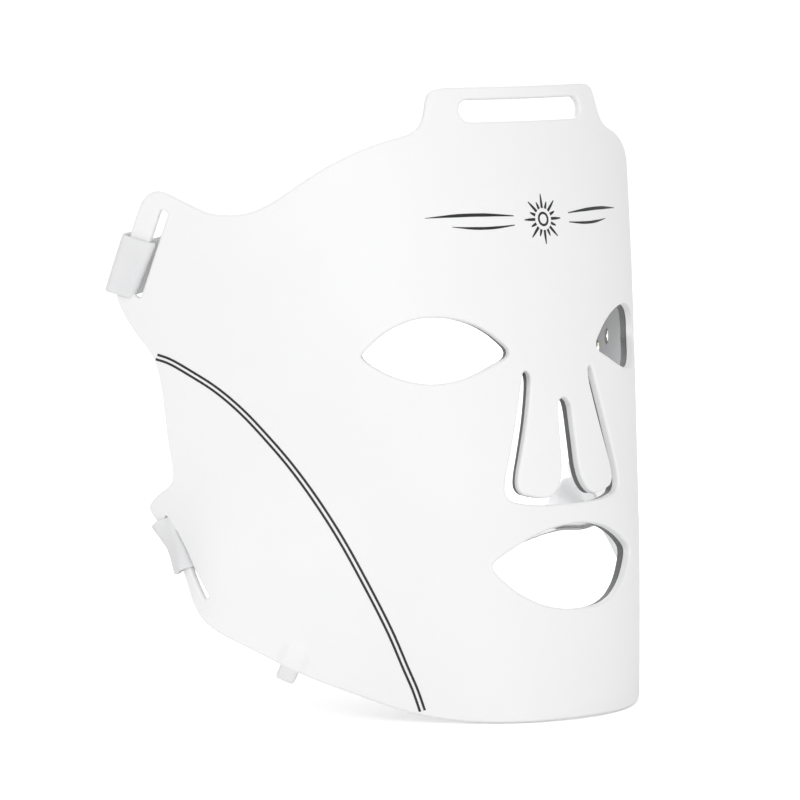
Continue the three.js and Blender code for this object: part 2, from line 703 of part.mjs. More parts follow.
// a turned part about local z; the profile is [radius, z]
function lathe(profile) {
  const points = profile.map(([radius, z]) => new THREE.Vector2(radius, z));
  return weld(new THREE.LatheGeometry(points, 24)).rotateX(Math.PI / 2);
}

function portHousing() {
  const outline = roundedRectangle(PORT.width / 2, PORT.thickness / 2, PORT.corner);
  const block = weld(new THREE.ExtrudeGeometry(outline, {
    depth: PORT.inLength + PORT.outLength,
    bevelEnabled: false,
    curveSegments: 4,
  })).translate(0, 0, -PORT.inLength);
  const bore = weld(new THREE.CylinderGeometry(BORE.radius, BORE.radius, BORE.length, 24))
    .rotateX(Math.PI / 2)
    .translate(0, 0, PORT.outLength - BORE.depth + BORE.length / 2);
  return cut(block, bore);
}

// local z points out of the sheet's lower edge, local x along it
function addPowerPort() {
  const at = (x, y) => {
    const [u, v] = portPoint(x, y);
    return sheetPoint(-u, v, PORT.depth);
  };
  const origin = at(0, 0);
  const out = heading(at(0, -1), at(0, 1));
  const normal = heading(at(-1, 0), at(1, 0)).cross(out).normalize();
  const along = new THREE.Vector3().crossVectors(normal, out).negate().normalize();
  // right-handed basis: along x normal = out
  along.crossVectors(normal, out).normalize();
  const basis = new THREE.Matrix4().makeBasis(along, normal, out).setPosition(origin);

  add('power_port_housing', portHousing().applyMatrix4(basis), 'silicone_white');

  // sleeve lining the bore, open at the mouth, with a hole in its base
  const mouthZ = PORT.outLength - SLEEVE.recess;
  const baseZ = mouthZ - SLEEVE.length;
  const sleeve = lathe([
    [SLEEVE.inner, mouthZ], [SLEEVE.outer, mouthZ], [SLEEVE.outer, baseZ],
    [SLEEVE.hole, baseZ], [SLEEVE.hole, baseZ + SLEEVE.base],
    [SLEEVE.inner, baseZ + SLEEVE.base], [SLEEVE.inner, mouthZ],
  ]);
  add('power_port_sleeve', sleeve.applyMatrix4(basis), 'metal');

  const tipZ = mouthZ - PIN.recess;
  const rootZ = baseZ + PIN.rootGap;
  const pin = lathe([
    [0, tipZ], [PIN.tipRadius, tipZ], [PIN.radius, tipZ - PIN.taper],
    [PIN.radius, rootZ], [0, rootZ],
  ]);
  add('power_port_pin', pin.applyMatrix4(basis), 'metal');

  root.userData.port = {
    o: origin.toArray(), eo: out.toArray(), ew: along.toArray(), en: normal.toArray(),
    end: PORT.outLength,
  };
}

// ---------- strap halves ----------
// Each half loops round the bar outside its slot.  Local axes: p away from the
// slot across the bar, q out of the sheet, s along the slot.
const TAIL_ROOT = [0, -16.7];    // [p, q] where the tail leaves the loop
const TAIL_BEND = [0, -19.5];    // [p, q] where it turns across the open back
const TAIL_BACK = 1.0;           // the crossing runs this far behind TAIL_BEND
// [share of the way to the centre, share of the twist to upright]
const TAIL_TWIST = [[0.06, 0.1], [0.12, 0.25], [0.2, 0.5], [0.28, 0.8], [0.34, 1]];

function strapFrame({ slot: { centre, dir, radius }, turn, shift, bar: barWidth }, side) {
  const acrossDir = [-turn * dir[1], turn * dir[0]];
  const middle = moved(moved(centre, acrossDir, radius + barWidth / 2), dir, shift);
  const at = (x, y) => {
    const [u, v] = moved(moved(middle, acrossDir, x), dir, y);
    return sheetPoint(side * u, v, SHELL_T / 2);
  };
  const origin = at(0, 0);
  const across = heading(at(-1, 0), at(1, 0));
  const outward = across.clone().cross(heading(at(0, -1), at(0, 1))).normalize();
  const along = new THREE.Vector3().crossVectors(outward, across).normalize();
  if (outward.dot(outwardNormal(side * middle[0], middle[1])) < 0) outward.negate();
  const toWorld = ([p, q], s) => origin.clone()
    .addScaledVector(across, p).addScaledVector(outward, q).addScaledVector(along, s);
  return { origin, along, toWorld };
}

function strapLoop({ slot: { radius }, bar: barWidth, lift }, toWorld) {
  const inner = -barWidth / 2 - radius;    // through the slot
  const outer = barWidth / 2 + 3.1;        // past the edge of the sheet
  // middle of the strap's thickness, [p, q]
  const middle = [
    [0, -17], [inner * 0.78, -6], [inner, -2.8], [inner, lift - 2.4],
    [inner + 1.0, lift - 0.7], [inner + 2.9, lift], [outer - 3.0, lift],
    [outer - 1.0, lift - 0.7], [outer, lift - 2.4], [outer, -2.8], [outer * 0.8, -6.5],
  ];
  const ring = [...inset(middle, -STRAP_T / 2), ...inset(middle, STRAP_T / 2)];
  const vertices = [-STRAP_W / 2, STRAP_W / 2].flatMap(s =>
    ring.map(point => toWorld(point, s)));
  const count = middle.length;
  const far = 2 * count;
  const triangles = [];
  for (let a = 0; a < count; a++) {
    const b = (a + 1) % count;
    const c = a + count;
    const d = b + count;
    triangles.push([a, b, b + far], [a, b + far, a + far]);             // outside wall
    triangles.push([c, d + far, d], [c, c + far, d + far]);             // inside wall
    triangles.push([a, c, d], [a, d, b]);                               // near side
    triangles.push([a + far, d + far, c + far], [a + far, b + far, d + far]); // far side
  }
  return solid(vertices, triangles);
}

// tail across the open back, twisting from the slot's direction to upright
function strapTail({ along, toWorld }, side, y, z) {
  const start = toWorld(TAIL_ROOT, 0);
  const bend = toWorld(TAIL_BEND, 0);
  const offset = -side * STRAP_OFFSET;
  const reach = Math.abs(bend.x);
  const up = new THREE.Vector3(0, 0, 1);
  const startWidth = along.clone().multiplyScalar(along.z < 0 ? -1 : 1);
  // [point, share of the twist]
  const stations = [
    [start, 0],
    [bend, 0],
    ...TAIL_TWIST.map(([share, twist]) => {
      const swing = offset * smootherStep((share - 0.04) / 0.3);
      return [new THREE.Vector3(side * reach * (1 - share), y + swing, z), twist];
    }),
    [new THREE.Vector3(side * reach * 0.3, y + offset, z), 1],
    [new THREE.Vector3(-side * STRAP_TIP, y + offset, z), 1],
  ];
  const vertices = stations.flatMap(([point, twist], i) => {
    const before = stations[Math.max(0, i - 1)][0];
    const after = i === 1 ? bend : stations[Math.min(stations.length - 1, i + 1)][0];
    const widthDir = startWidth.clone().lerp(up, twist).normalize();
    const thickDir = heading(before, after).cross(widthDir).normalize();
    // the root is slightly smaller, so it sits inside the loop
    const halfThick = (i < 1 ? 0.45 : 0.5) * STRAP_T;
    const halfWidth = STRAP_W / 2 - (i < 2 ? 0.02 : 0);
    return [[-1, -1], [1, -1], [1, 1], [-1, 1]].map(([thick, wide]) => point.clone()
      .addScaledVector(thickDir, thick * halfThick)
      .addScaledVector(widthDir, wide * halfWidth));
  });
  return bar(vertices);
}

// hook or loop patch on the face that meets the other half
function strapPatch(side, y, z) {
  const { length, width, thickness, gap, tipMargin } = PATCH;
  const x = -side * (STRAP_TIP - tipMargin - length / 2);
  const patchY = y - side * STRAP_OFFSET + side * (STRAP_T / 2 + gap + thickness / 2);
  return weld(new THREE.BoxGeometry(length, thickness, width).translate(x, patchY, z));
}

function addStraps(level, strap) {
  // both halves cross the back on the line set by the left one
  const leftBend = strapFrame(strap, 1).toWorld(TAIL_BEND, 0);
  const y = leftBend.y + TAIL_BACK;
  const z = leftBend.z;
  const bars = { y, z };
  for (const [side, tag] of SIDES) {
    const frame = strapFrame(strap, side);
    const parts = [strapLoop(strap, frame.toWorld), strapTail(frame, side, y, z)];
    add(level + '_strap_' + tag, join(parts), 'strap');
    const patchName = level + (side > 0 ? '_hook_patch' : '_loop_patch');
    add(patchName, strapPatch(side, y, z), 'fastener');
    bars[tag] = frame.origin.toArray();
  }
  root.userData.bars[level] = bars;
}

// ---------- assembly ----------
addFront();
for (const [side, tag] of SIDES) {
  addWing(side, tag);
  for (const [name, row] of Object.entries({ ...ROWS_FRONT, ...ROWS_WING })) {
    addLedRow(name + '_' + tag, row, side);
  }
  addNoseFlap(side, tag);
}
addPowerPort();
root.userData.bars = {};
for (const [level, strap] of Object.entries(STRAPS)) addStraps(level, strap);

// lines the sheet bends about, for whoever poses the mask
root.userData.bends = {
  wing: Array.from({ length: 19 }, (_, i) => {
    const v = 8 + 9 * i;
    return sheetPoint(FLEX_U + FLEX_SLOPE * v, v, 1.0).toArray();
  }),
  flap: [[2.9, 103.15], [12.85, 112.7]].map(([u, v]) => sheetPoint(u, v, 0.3).toArray()),
  slotWall: {
    p: sheetPoint(2.1, 202.7, SHELL_T / 2).toArray(),
    n: upTangent(2.1, 202.7).negate().toArray(),
  },
};
export default root;
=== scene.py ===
"""LED face mask: a curved silicone sheet with a grey liner, LED lenses, nose flaps, two pairs of
straps and a cable port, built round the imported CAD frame.

The mask faces -Y with +Z up, and +X is the wearer's left (tag "l"). It is drawn as a flat
pattern in millimetres: across (round the sheet from the centre line), height (up) and depth
(inwards from the outer face). Finished meshes are in metres.
"""
import json
import math

import bmesh
import bpy
import numpy as np
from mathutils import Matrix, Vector
from mathutils.geometry import delaunay_2d_cdt


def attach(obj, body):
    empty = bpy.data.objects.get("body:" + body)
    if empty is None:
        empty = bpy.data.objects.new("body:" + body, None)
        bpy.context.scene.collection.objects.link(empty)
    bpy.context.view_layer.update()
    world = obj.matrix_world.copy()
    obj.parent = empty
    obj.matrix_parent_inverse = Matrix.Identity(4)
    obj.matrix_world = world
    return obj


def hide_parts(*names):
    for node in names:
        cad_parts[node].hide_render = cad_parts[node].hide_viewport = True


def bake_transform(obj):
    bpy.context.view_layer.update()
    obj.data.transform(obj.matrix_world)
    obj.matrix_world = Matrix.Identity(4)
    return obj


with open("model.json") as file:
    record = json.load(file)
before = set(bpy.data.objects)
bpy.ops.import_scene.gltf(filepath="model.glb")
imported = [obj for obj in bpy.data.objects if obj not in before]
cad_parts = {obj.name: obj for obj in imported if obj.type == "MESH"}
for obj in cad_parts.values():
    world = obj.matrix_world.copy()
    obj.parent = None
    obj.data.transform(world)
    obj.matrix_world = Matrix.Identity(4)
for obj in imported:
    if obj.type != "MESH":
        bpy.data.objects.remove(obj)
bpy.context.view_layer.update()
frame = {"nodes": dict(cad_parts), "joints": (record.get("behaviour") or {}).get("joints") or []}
JOINTS = {joint["name"]: joint for joint in frame["joints"]}
SIDES = ((1, "l"), (-1, "r"))

SHIFT = np.array([0.0, -61.9081, 0.0497])    # from the pattern's origin to the frame's, mm
SHELL_T = 2.2                                # skin thickness
STEP = 1.15                # point spacing along edges
GRID = 3.6                 # point spacing inside a sheet

# ------------------------------------------------------------- curved sheet
# Each level curves at the front radius through the front angle, then at the side radius.
# "Low" and "high" values change over between two heights.
CHANGE_FROM, CHANGE_RUN = 40.0, 70.0
FRONT_ANGLE_LOW, FRONT_ANGLE_HIGH = 0.80, 0.9076
SIDE_RADIUS_LOW, SIDE_RADIUS_HIGH = 3000, 260
FRONT_RADIUS, FRONT_RADIUS_GROWTH = 50.585, 0.2815    # at height 0, and per mm of height
BEND_SOFTNESS = 6.0
CURL_ANGLE = math.radians(50)                # extra inward curl near the rear edge
CURL_HEIGHT, CURL_SPREAD = 50.0, 26.0
CURL_FROM, CURL_RUN = 114.0, 26.0
LEAN_FROM, LEAN, LEAN_GROWTH = -7.2, 9.523, 2.85      # backward lean per 100 mm of height


def ease(x):
    x = np.clip(x, 0.0, 1.0)
    return x * x * x * (x * (6 * x - 15) + 10)


def bend_angle(out, height):
    """Heading of the sheet at a distance out from the centre line."""
    change = ease((height - CHANGE_FROM) / CHANGE_RUN)
    front_angle = FRONT_ANGLE_LOW + (FRONT_ANGLE_HIGH - FRONT_ANGLE_LOW) * change
    side_curve = 1 / SIDE_RADIUS_LOW + (1 / SIDE_RADIUS_HIGH - 1 / SIDE_RADIUS_LOW) * change
    radius = FRONT_RADIUS + FRONT_RADIUS_GROWTH * height
    front_end = front_angle * radius
    soft = BEND_SOFTNESS
    front_run = (out - soft * np.log1p(np.exp((out - front_end) / soft))
                 + soft * np.log1p(np.exp(-front_end / soft)))
    curl = CURL_ANGLE * np.exp(-(((height - CURL_HEIGHT) / CURL_SPREAD) ** 2))
    return (side_curve * out + (1 / radius - side_curve) * front_run
            + curl * ease((out - CURL_FROM) / CURL_RUN))


def face_point(across, height, samples=48):
    """Outer face in mm, before SHIFT: the heading is summed out from the centre line."""
    across = np.asarray(across, float)
    height = np.asarray(height, float)
    out = np.abs(across)
    parts = (np.arange(samples) + 0.5) / samples
    heading = bend_angle(out[..., None] * parts, height[..., None])
    lean = (height - LEAN_FROM) / 100
    return np.stack([np.sign(across) * out * np.cos(heading).mean(-1),
                     out * np.sin(heading).mean(-1) + LEAN * lean + LEAN_GROWTH * lean * lean,
                     height], -1)


def unit(vectors):
    return vectors / np.maximum(np.linalg.norm(vectors, axis=-1, keepdims=True), 1e-12)


def square_to(vectors, axis, amount=1):
    """Unit vectors with their part along the unit axis taken out, wholly or by an amount."""
    return unit(vectors - amount * (vectors * axis).sum(-1, keepdims=True) * axis)


def tangents(across, height, gap=0.05):
    """Unit directions across, up and outwards."""
    side = unit(face_point(across + gap, height) - face_point(across - gap, height))
    up = unit(face_point(across, height + gap) - face_point(across, height - gap))
    return side, up, unit(np.cross(side, up))


def to_frame(points):
    """From pattern-space millimetres to the frame's metres."""
    return (points + SHIFT) / 1000


def sheet_point(across, height, depth):
    across, height, depth = (np.asarray(value, float)
                             for value in np.broadcast_arrays(across, height, depth))
    return to_frame(face_point(across, height) - tangents(across, height)[2] * depth[..., None])


def sheet_mm(across, height, depth):
    return sheet_point(across, height, depth) * 1000 - SHIFT


def pattern_axes(centre, x_way, y_way, depth):
    """Origin and two unit axes, in mm, of a small patch of the sheet."""
    def at(x, y):
        return sheet_mm(*(centre + x_way * x + y_way * y), depth)

    return at(0, 0), unit(at(1, 0) - at(-1, 0)), unit(at(0, 1) - at(0, -1))


# ------------------------------------------------------- flat half pattern
# Outlines are (across, height) points. Those that cross the centre line are cut there later.
BOTTOM = [
    (-11, 0.3), (0, 0.4), (11, 0.3), (22.6, 0.1), (36.2, 0.1), (47.2, 0.7), (58.6, 2.3),
    (66.7, 4.3), (74.7, 7.0), (82.8, 9.9), (92.7, 13.4), (98.8, 16.1), (105.4, 19.2),
    (110.7, 21.9), (117.0, 25.1), (122.9, 28.0), (126.8, 30.4), (130.7, 33.5), (134.3, 38.0),
    (137.2, 43.0), (140.3, 47.6)]
REAR = [
    (146.3, 56.1), (152.3, 64.3), (153.3, 66.4), (152.6, 68.2), (150.6, 69.9), (148.0, 71.7),
    (145.5, 73.2), (141.9, 75.4), (140.2, 77.4), (139.6, 80), (140.1, 86), (140.7, 91.5),
    (140.9, 102.4), (141.0, 107.3), (141.6, 113.7), (142.7, 117.9), (144.7, 121.2),
    (147.3, 124.7), (150.1, 129.2), (152.2, 133.6), (153.2, 137.9), (150.6, 145.2),
    (147.4, 152.8), (144.6, 159.4), (141.8, 165.0), (139.2, 169.4), (136.7, 171.7),
    (134.1, 172.8)]
TOP = [
    (131.6, 172.6), (128.9, 171.5), (125.3, 169.7), (120.8, 167.6), (116.2, 165.9), (111, 165.4),
    (104.8, 165.9), (99.9, 167.3), (94.9, 169.6), (89.6, 172.8), (84.2, 176.2), (77.2, 180.4),
    (70.3, 183.9), (63.5, 186.8), (56.6, 189.2), (50, 191), (46.2, 192.1), (43.8, 193.5),
    (42.0, 195.4), (40.8, 197.8), (39.9, 200.4), (39.0, 203.2), (38.0, 204.9), (36, 206.1),
    (32.7, 206.6), (20, 206.7), (0, 206.7), (-20, 206.7)]
EYE = [
    (70.6, 119.8), (67.3, 123.4), (62.4, 127.3), (56.9, 130.1), (51.2, 131.9), (45.1, 132.4),
    (38.5, 131.7), (31.8, 129.7), (26.5, 126.8), (22.5, 123.6), (20.5, 121.6), (20.3, 120.3),
    (21.4, 118.9), (26.2, 116.7), (32.5, 114.1), (40, 111.8), (48, 110.9), (55.5, 111.8),
    (61.8, 113.8), (66.4, 116.2), (69.6, 118.4)]
MOUTH = [
    (-7.8, 63.0), (0, 63.6), (7.8, 63.0), (14.8, 61.4), (21.4, 58.8), (26.6, 56.2), (30.8, 53.7),
    (32.7, 52.2), (33.1, 51.0), (32.3, 49.4), (30.2, 47.0), (25.6, 43.0), (21.2, 40.4),
    (16.6, 38.3), (9.3, 36.5), (0, 36.0), (-9.3, 36.5)]
NOSE = [
    (0, 104.7), (1.2, 104.4), (2.2, 103.6), (2.75, 102.4), (3.0, 100.5), (3.1, 97.4),
    (3.4, 89.3), (3.8, 81.8), (5.2, 77.2), (7, 74.7), (9.2, 73.1), (11.4, 72.6), (14.3, 72.8),
    (18.5, 73.7), (20.7, 74.5), (22, 76.4), (21.9, 79.6), (19.7, 87), (16.3, 98.2),
    (13.6, 109.5), (13.3, 112), (13.7, 113.6), (14.6, 114.3), (15.6, 113.8), (16.2, 112.5),
    (18.4, 104.8), (21, 95.8), (23.7, 87.2), (26.2, 79.2), (26.7, 75.4), (25.9, 73.4),
    (24.4, 72.2), (18.5, 70.9), (12.1, 70.4), (0, 70.2)]
ROOT_A, ROOT_B = 3, 20         # the NOSE points at the two ends of the flap's root
LINER_BOTTOM = [
    (-11, 1.8), (0, 1.9), (11, 1.8), (22.6, 1.6), (36, 1.6), (47, 2.2), (58.3, 3.8), (66.3, 5.8),
    (74.2, 8.5), (82.3, 11.4), (92.2, 14.9), (98.2, 17.5), (104.7, 20.6), (110, 23.3),
    (116.2, 26.5)]
LINER_REAR = [
    (119.6, 28.6), (121.8, 31.2), (122.4, 35), (122.2, 42), (122.8, 54), (125.4, 70), (129, 88),
    (131.4, 108), (130.6, 124), (128.4, 138), (126.4, 150), (124.6, 158)]
LINER_TOP = [
    (121, 163.4), (116, 164.2), (111, 163.8), (104.8, 164.3), (99.5, 165.8), (94.2, 168.1),
    (88.8, 171.2), (83.4, 174.7), (76.4, 178.8), (69.6, 182.3), (62.9, 185.1), (56, 187.5),
    (49.6, 189.3), (40, 191.0), (20, 191.9), (0, 192.0), (-20, 191.9)]
# Strap slots: centre, half length, half width and direction of the long side.
UPPER_SLOT = dict(centre=(138.71, 152.1), half_long=16.0, half_wide=1.4, way=(0.444, -0.896))
LOWER_SLOT = dict(centre=(137.31, 52.61), half_long=15.4, half_wide=1.15, way=(0.589, 0.808))
SLOT_CORNER = 0.95
TOP_SLOT = dict(x=24.3, y=199, radius=3.7)     # centre and radius of its rounded end
# LED rows: first spot, last spot, number of spots.
ROWS_FRONT = [((13, 128), (13, 186), 5), ((40, 143), (40, 185), 4), ((66, 138), (66, 176), 3),
              ((42, 15), (42, 96), 6), ((66, 20), (66, 101), 6)]
ROWS_WING = [((105, 33), (105, 150), 8), ((117.5, 38), (117.5, 148), 7)]
ROW_FLAP = ((9.6, 96), (12.6, 82), 2)
CHIN_SPOTS = [(0, 17), (14, 17), (28, 17)]
CHIN_WINDOW_R, WINDOW_R, FLAP_WINDOW_R = 3.0, 2.8, 2.6
# Cable port on the right half's lower edge: centre, the way along the edge, the way out of it.
PORT_CENTRE = np.array((102.0, 17.6))
PORT_ALONG = np.array((0.905, 0.425))
PORT_OUT = np.array((0.425, -0.905))


def spots(row):
    first, last, count = row
    return [(first[0] + (last[0] - first[0]) * i / (count - 1),
             first[1] + (last[1] - first[1]) * i / (count - 1)) for i in range(count)]


def between(a, b, knot_a, knot_b, x):
    return (knot_b - x) / (knot_b - knot_a) * a + (x - knot_a) / (knot_b - knot_a) * b


def spline(points, closed=False, sub=10):
    """Centripetal Catmull-Rom curve through the points, sub steps to each span."""
    points = np.array(points, float)
    count, out = len(points), []
    for i in range(count if closed else count - 1):
        start, end = points[i], points[(i + 1) % count]
        before = points[i - 1] if closed or i > 0 else 2 * start - end
        after = points[(i + 2) % count] if closed or i + 2 < count else 2 * end - start
        hull = (before, start, end, after)
        knots = [0.0]
        for a, b in zip(hull, hull[1:]):
            knots.append(knots[-1] + max(np.linalg.norm(b - a), 1e-9) ** 0.5)
        for j in range(sub):
            x = knots[1] + (knots[2] - knots[1]) * j / sub
            first = [between(hull[k], hull[k + 1], knots[k], knots[k + 1], x) for k in range(3)]
            second = [between(first[k], first[k + 1], knots[k], knots[k + 2], x)
                      for k in range(2)]
            out.append(between(*second, knots[1], knots[2], x))
    if not closed:
        out.append(points[-1])
    return np.array(out)


def arc_lengths(points):
    return np.concatenate([[0], np.cumsum(np.linalg.norm(np.diff(points, axis=0), axis=1))])


def even_rows(rows, lengths, count):
    """Rows taken at even distances, with lengths as the distance of each given row."""
    wanted = np.linspace(0, lengths[-1], count + 1)
    return np.stack([np.interp(wanted, lengths, rows[:, k]) for k in range(rows.shape[1])], 1)


def resample(points, step, closed=False):
    points = np.asarray(points, float)
    if closed:
        points = np.vstack([points, points[:1]])
    lengths = arc_lengths(points)
    out = even_rows(points, lengths, max(2, int(round(lengths[-1] / step))))
    return out[:-1] if closed else out


def half(points, step):
    """The part of a line with across >= 0, ending exactly on the centre line."""
    out = []
    for a, b in zip(points[:-1], points[1:]):
        if (a[0] < 0) != (b[0] < 0):
            part = a[0] / (a[0] - b[0])
            out.append((0.0, a[1] + part * (b[1] - a[1])))
        if b[0] > 1e-6:
            out.append(tuple(b))
    if abs(points[-1][0]) < 1e-6 and out[-1][0] > 0:
        out.append((0.0, points[-1][1]))
    if abs(points[0][0]) < 1e-6 and out[0][0] > 0:
        out.insert(0, (0.0, points[0][1]))
    return resample(np.array(out), step)


def left(points, closed=False):
    """Unit directions to the left of travel."""
    if closed:
        ahead = np.roll(points, -1, 0) - np.roll(points, 1, 0)
    else:
        ahead = np.gradient(points, axis=0)
    ahead = unit(ahead)
    return np.stack([-ahead[:, 1], ahead[:, 0]], 1)


def clockwise(loop):
    area = np.sum(loop[:, 0] * np.roll(loop[:, 1], -1) - np.roll(loop[:, 0], -1) * loop[:, 1])
    return loop if area < 0 else loop[::-1]


def half_round(x, y, radius, count):
    """Half circle on the +across side, from top to bottom."""
    angle = np.linspace(math.pi / 2, -math.pi / 2, count)
    return np.stack([x + radius * np.cos(angle), y + radius * np.sin(angle)], 1)


def slot_outline(centre, half_long, half_wide, way):
    way = np.array(way)
    side = np.array((-way[1], way[0]))
    points = []
    for k, (x_sign, y_sign) in enumerate(((1, -1), (1, 1), (-1, 1), (-1, -1))):
        for turn in np.linspace(0, math.pi / 2, 5):
            angle = turn + (k - 1) * math.pi / 2
            x = x_sign * (half_long - SLOT_CORNER) + SLOT_CORNER * math.cos(angle)
            y = y_sign * (half_wide - SLOT_CORNER) + SLOT_CORNER * math.sin(angle)
            points.append(np.array(centre) + x * way + y * side)
    return resample(np.array(points), STEP, True)


def inside(points, loop):
    x, y = points[:, 0], points[:, 1]
    odd = np.zeros(len(points), bool)
    for (x0, y0), (x1, y1) in zip(loop, np.roll(loop, -1, 0)):
        if y0 != y1:
            odd ^= ((y0 > y) != (y1 > y)) & (x < (x1 - x0) * (y - y0) / (y1 - y0) + x0)
    return odd


def within(points, rings):
    """Inside the first ring and outside all the others."""
    keep = inside(points, rings[0])
    for ring in rings[1:]:
        keep &= ~inside(points, ring)
    return keep


# ------------------------------------------------------------ sheet builder
class Chain:
    """A run of boundary: free edges get a moulded profile, seams stay plain.

    Each of ends is None or (direction, scale): the profile's inset way and size at that end.
    """

    def __init__(self, points, profile=None, closed=False, ends=(None, None)):
        self.points = np.asarray(points, float)
        self.profile, self.closed = profile, closed
        self.count = len(self.points)
        if profile is None:
            return
        self.inward = left(self.points, closed)
        self.scale = np.ones(self.count)
        reach = 4 if self.count > 10 else 2
        for end, at_start in zip(ends, (True, False)):
            if end is None:
                continue
            way, scale = unit(np.array(end[0], float)), end[1]
            for j in range(reach):
                share = 1 - j / reach
                i = j if at_start else self.count - 1 - j
                self.inward[i] = unit(self.inward[i] * (1 - share) + way * share)
                self.scale[i] = scale * share + self.scale[i] * (1 - share)

    def inset(self, distance):
        return self.points + self.inward * (distance * self.scale)[:, None]

    def rim(self):
        """Where the flat of the sheet ends."""
        return self.points if self.profile is None else self.inset(self.profile[0][0])


def add_object(name, data):
    obj = bpy.data.objects.new(name, data)
    bpy.context.scene.collection.objects.link(obj)
    return obj


def make_mesh(name, verts, faces, mat, side=1, loop_normals=None):
    """A smooth mesh object. With side -1 it is mirrored in X."""
    verts = np.asarray(verts, float)
    if side < 0:
        verts = verts * np.array([-1.0, 1, 1])
        faces = [tuple(reversed(face)) for face in faces]
        if loop_normals is not None:
            loop_normals = [[(-n[0], n[1], n[2]) for n in reversed(face)]
                            for face in loop_normals]
    mesh = bpy.data.meshes.new(name)
    mesh.from_pydata(verts.tolist(), [], faces)
    mesh.polygons.foreach_set("use_smooth", [True] * len(mesh.polygons))
    mesh.materials.append(mat)
    if loop_normals is not None:
        mesh.normals_split_custom_set([tuple(n) for face in loop_normals for n in face])
    return add_object(name, mesh)


def inner_points(rings, grid, extra):
    """Staggered lattice inside the rings. extra is (points, radius cleared round them)."""
    edge = rings[0]
    lo, hi = edge.min(0), edge.max(0)
    for ring in rings[1:]:
        lo, hi = np.minimum(lo, ring.min(0)), np.maximum(hi, ring.max(0))
    pitch = grid * 0.866
    columns = np.arange(math.floor(lo[0] / grid), math.ceil(hi[0] / grid) + 1)
    rows = np.arange(math.floor(lo[1] / pitch), math.ceil(hi[1] / pitch) + 1)
    lattice = np.array([((i + (abs(int(j)) % 2) / 2) * grid + 0.003, j * grid * 0.866 + 0.007)
                        for j in rows for i in columns])
    gaps = np.full(len(lattice), 0.42 * grid)
    if extra is not None:
        added, reach = extra
        far = np.array([np.min(np.hypot(*(added - point).T)) for point in lattice]) > reach
        lattice = np.vstack([lattice[far], added])
        gaps = np.concatenate([gaps[far], np.full(len(added), 0.5)])
    keep = within(lattice, rings)
    lattice, gaps = lattice[keep], gaps[keep]
    dense = np.vstack([resample(ring, 0.7, True) for ring in rings])
    nearest = [np.sqrt(((lattice[i:i + 400, None, :] - dense[None]) ** 2).sum(-1)).min(1)
               for i in range(0, len(lattice), 400)]
    return lattice[np.concatenate(nearest) > gaps]


def fill_outline(name, loops, grid, extra):
    """Triangulates the flat. Returns its points, its triangles and (chain, rim ids) pairs."""
    rim, edges, chains, rings = [], [], [], []
    for loop in loops:
        start = len(rim)
        for chain in loop:
            chains.append((chain, np.arange(len(rim), len(rim) + chain.count)))
            rim.extend(chain.rim().tolist())
        end = len(rim)
        edges += [(i, i + 1) for i in range(start, end - 1)] + [(end - 1, start)]
        rings.append(np.array(rim[start:end]))
    points = np.vstack([np.array(rim), inner_points(rings, grid, extra)])
    cdt = delaunay_2d_cdt([Vector(point) for point in points.tolist()], edges, [], 0, 1e-6)
    source = [origin[0] if origin else None for origin in cdt[3]]
    if None in source:
        raise RuntimeError(name + ": an outline crosses itself")
    tris = np.array([[source[i] for i in face] for face in cdt[2] if len(face) == 3])
    tris = tris[within(points[tris].mean(1), rings)]
    a, b, c = points[tris[:, 0]], points[tris[:, 1]], points[tris[:, 2]]
    ab, ac = b - a, c - a
    flip = (ab[:, 0] * ac[:, 1] - ab[:, 1] * ac[:, 0]) < 0
    tris[flip] = tris[flip][:, ::-1]
    return points, tris.tolist(), chains


def seam_walls(loops, count):
    """Walls between the two flats along seams, and from each seam to the chains beside it."""
    walls, base = [], 0
    for loop in loops:
        owners = [chain for chain in loop for _ in range(chain.count)]
        for i, owner in enumerate(owners):
            j = (i + 1) % len(owners)
            if owner is not owners[j] or owner.profile is None:
                a, b = base + i, base + j
                walls.append((a, a + count, b + count, b))
        base += len(owners)
    return walls


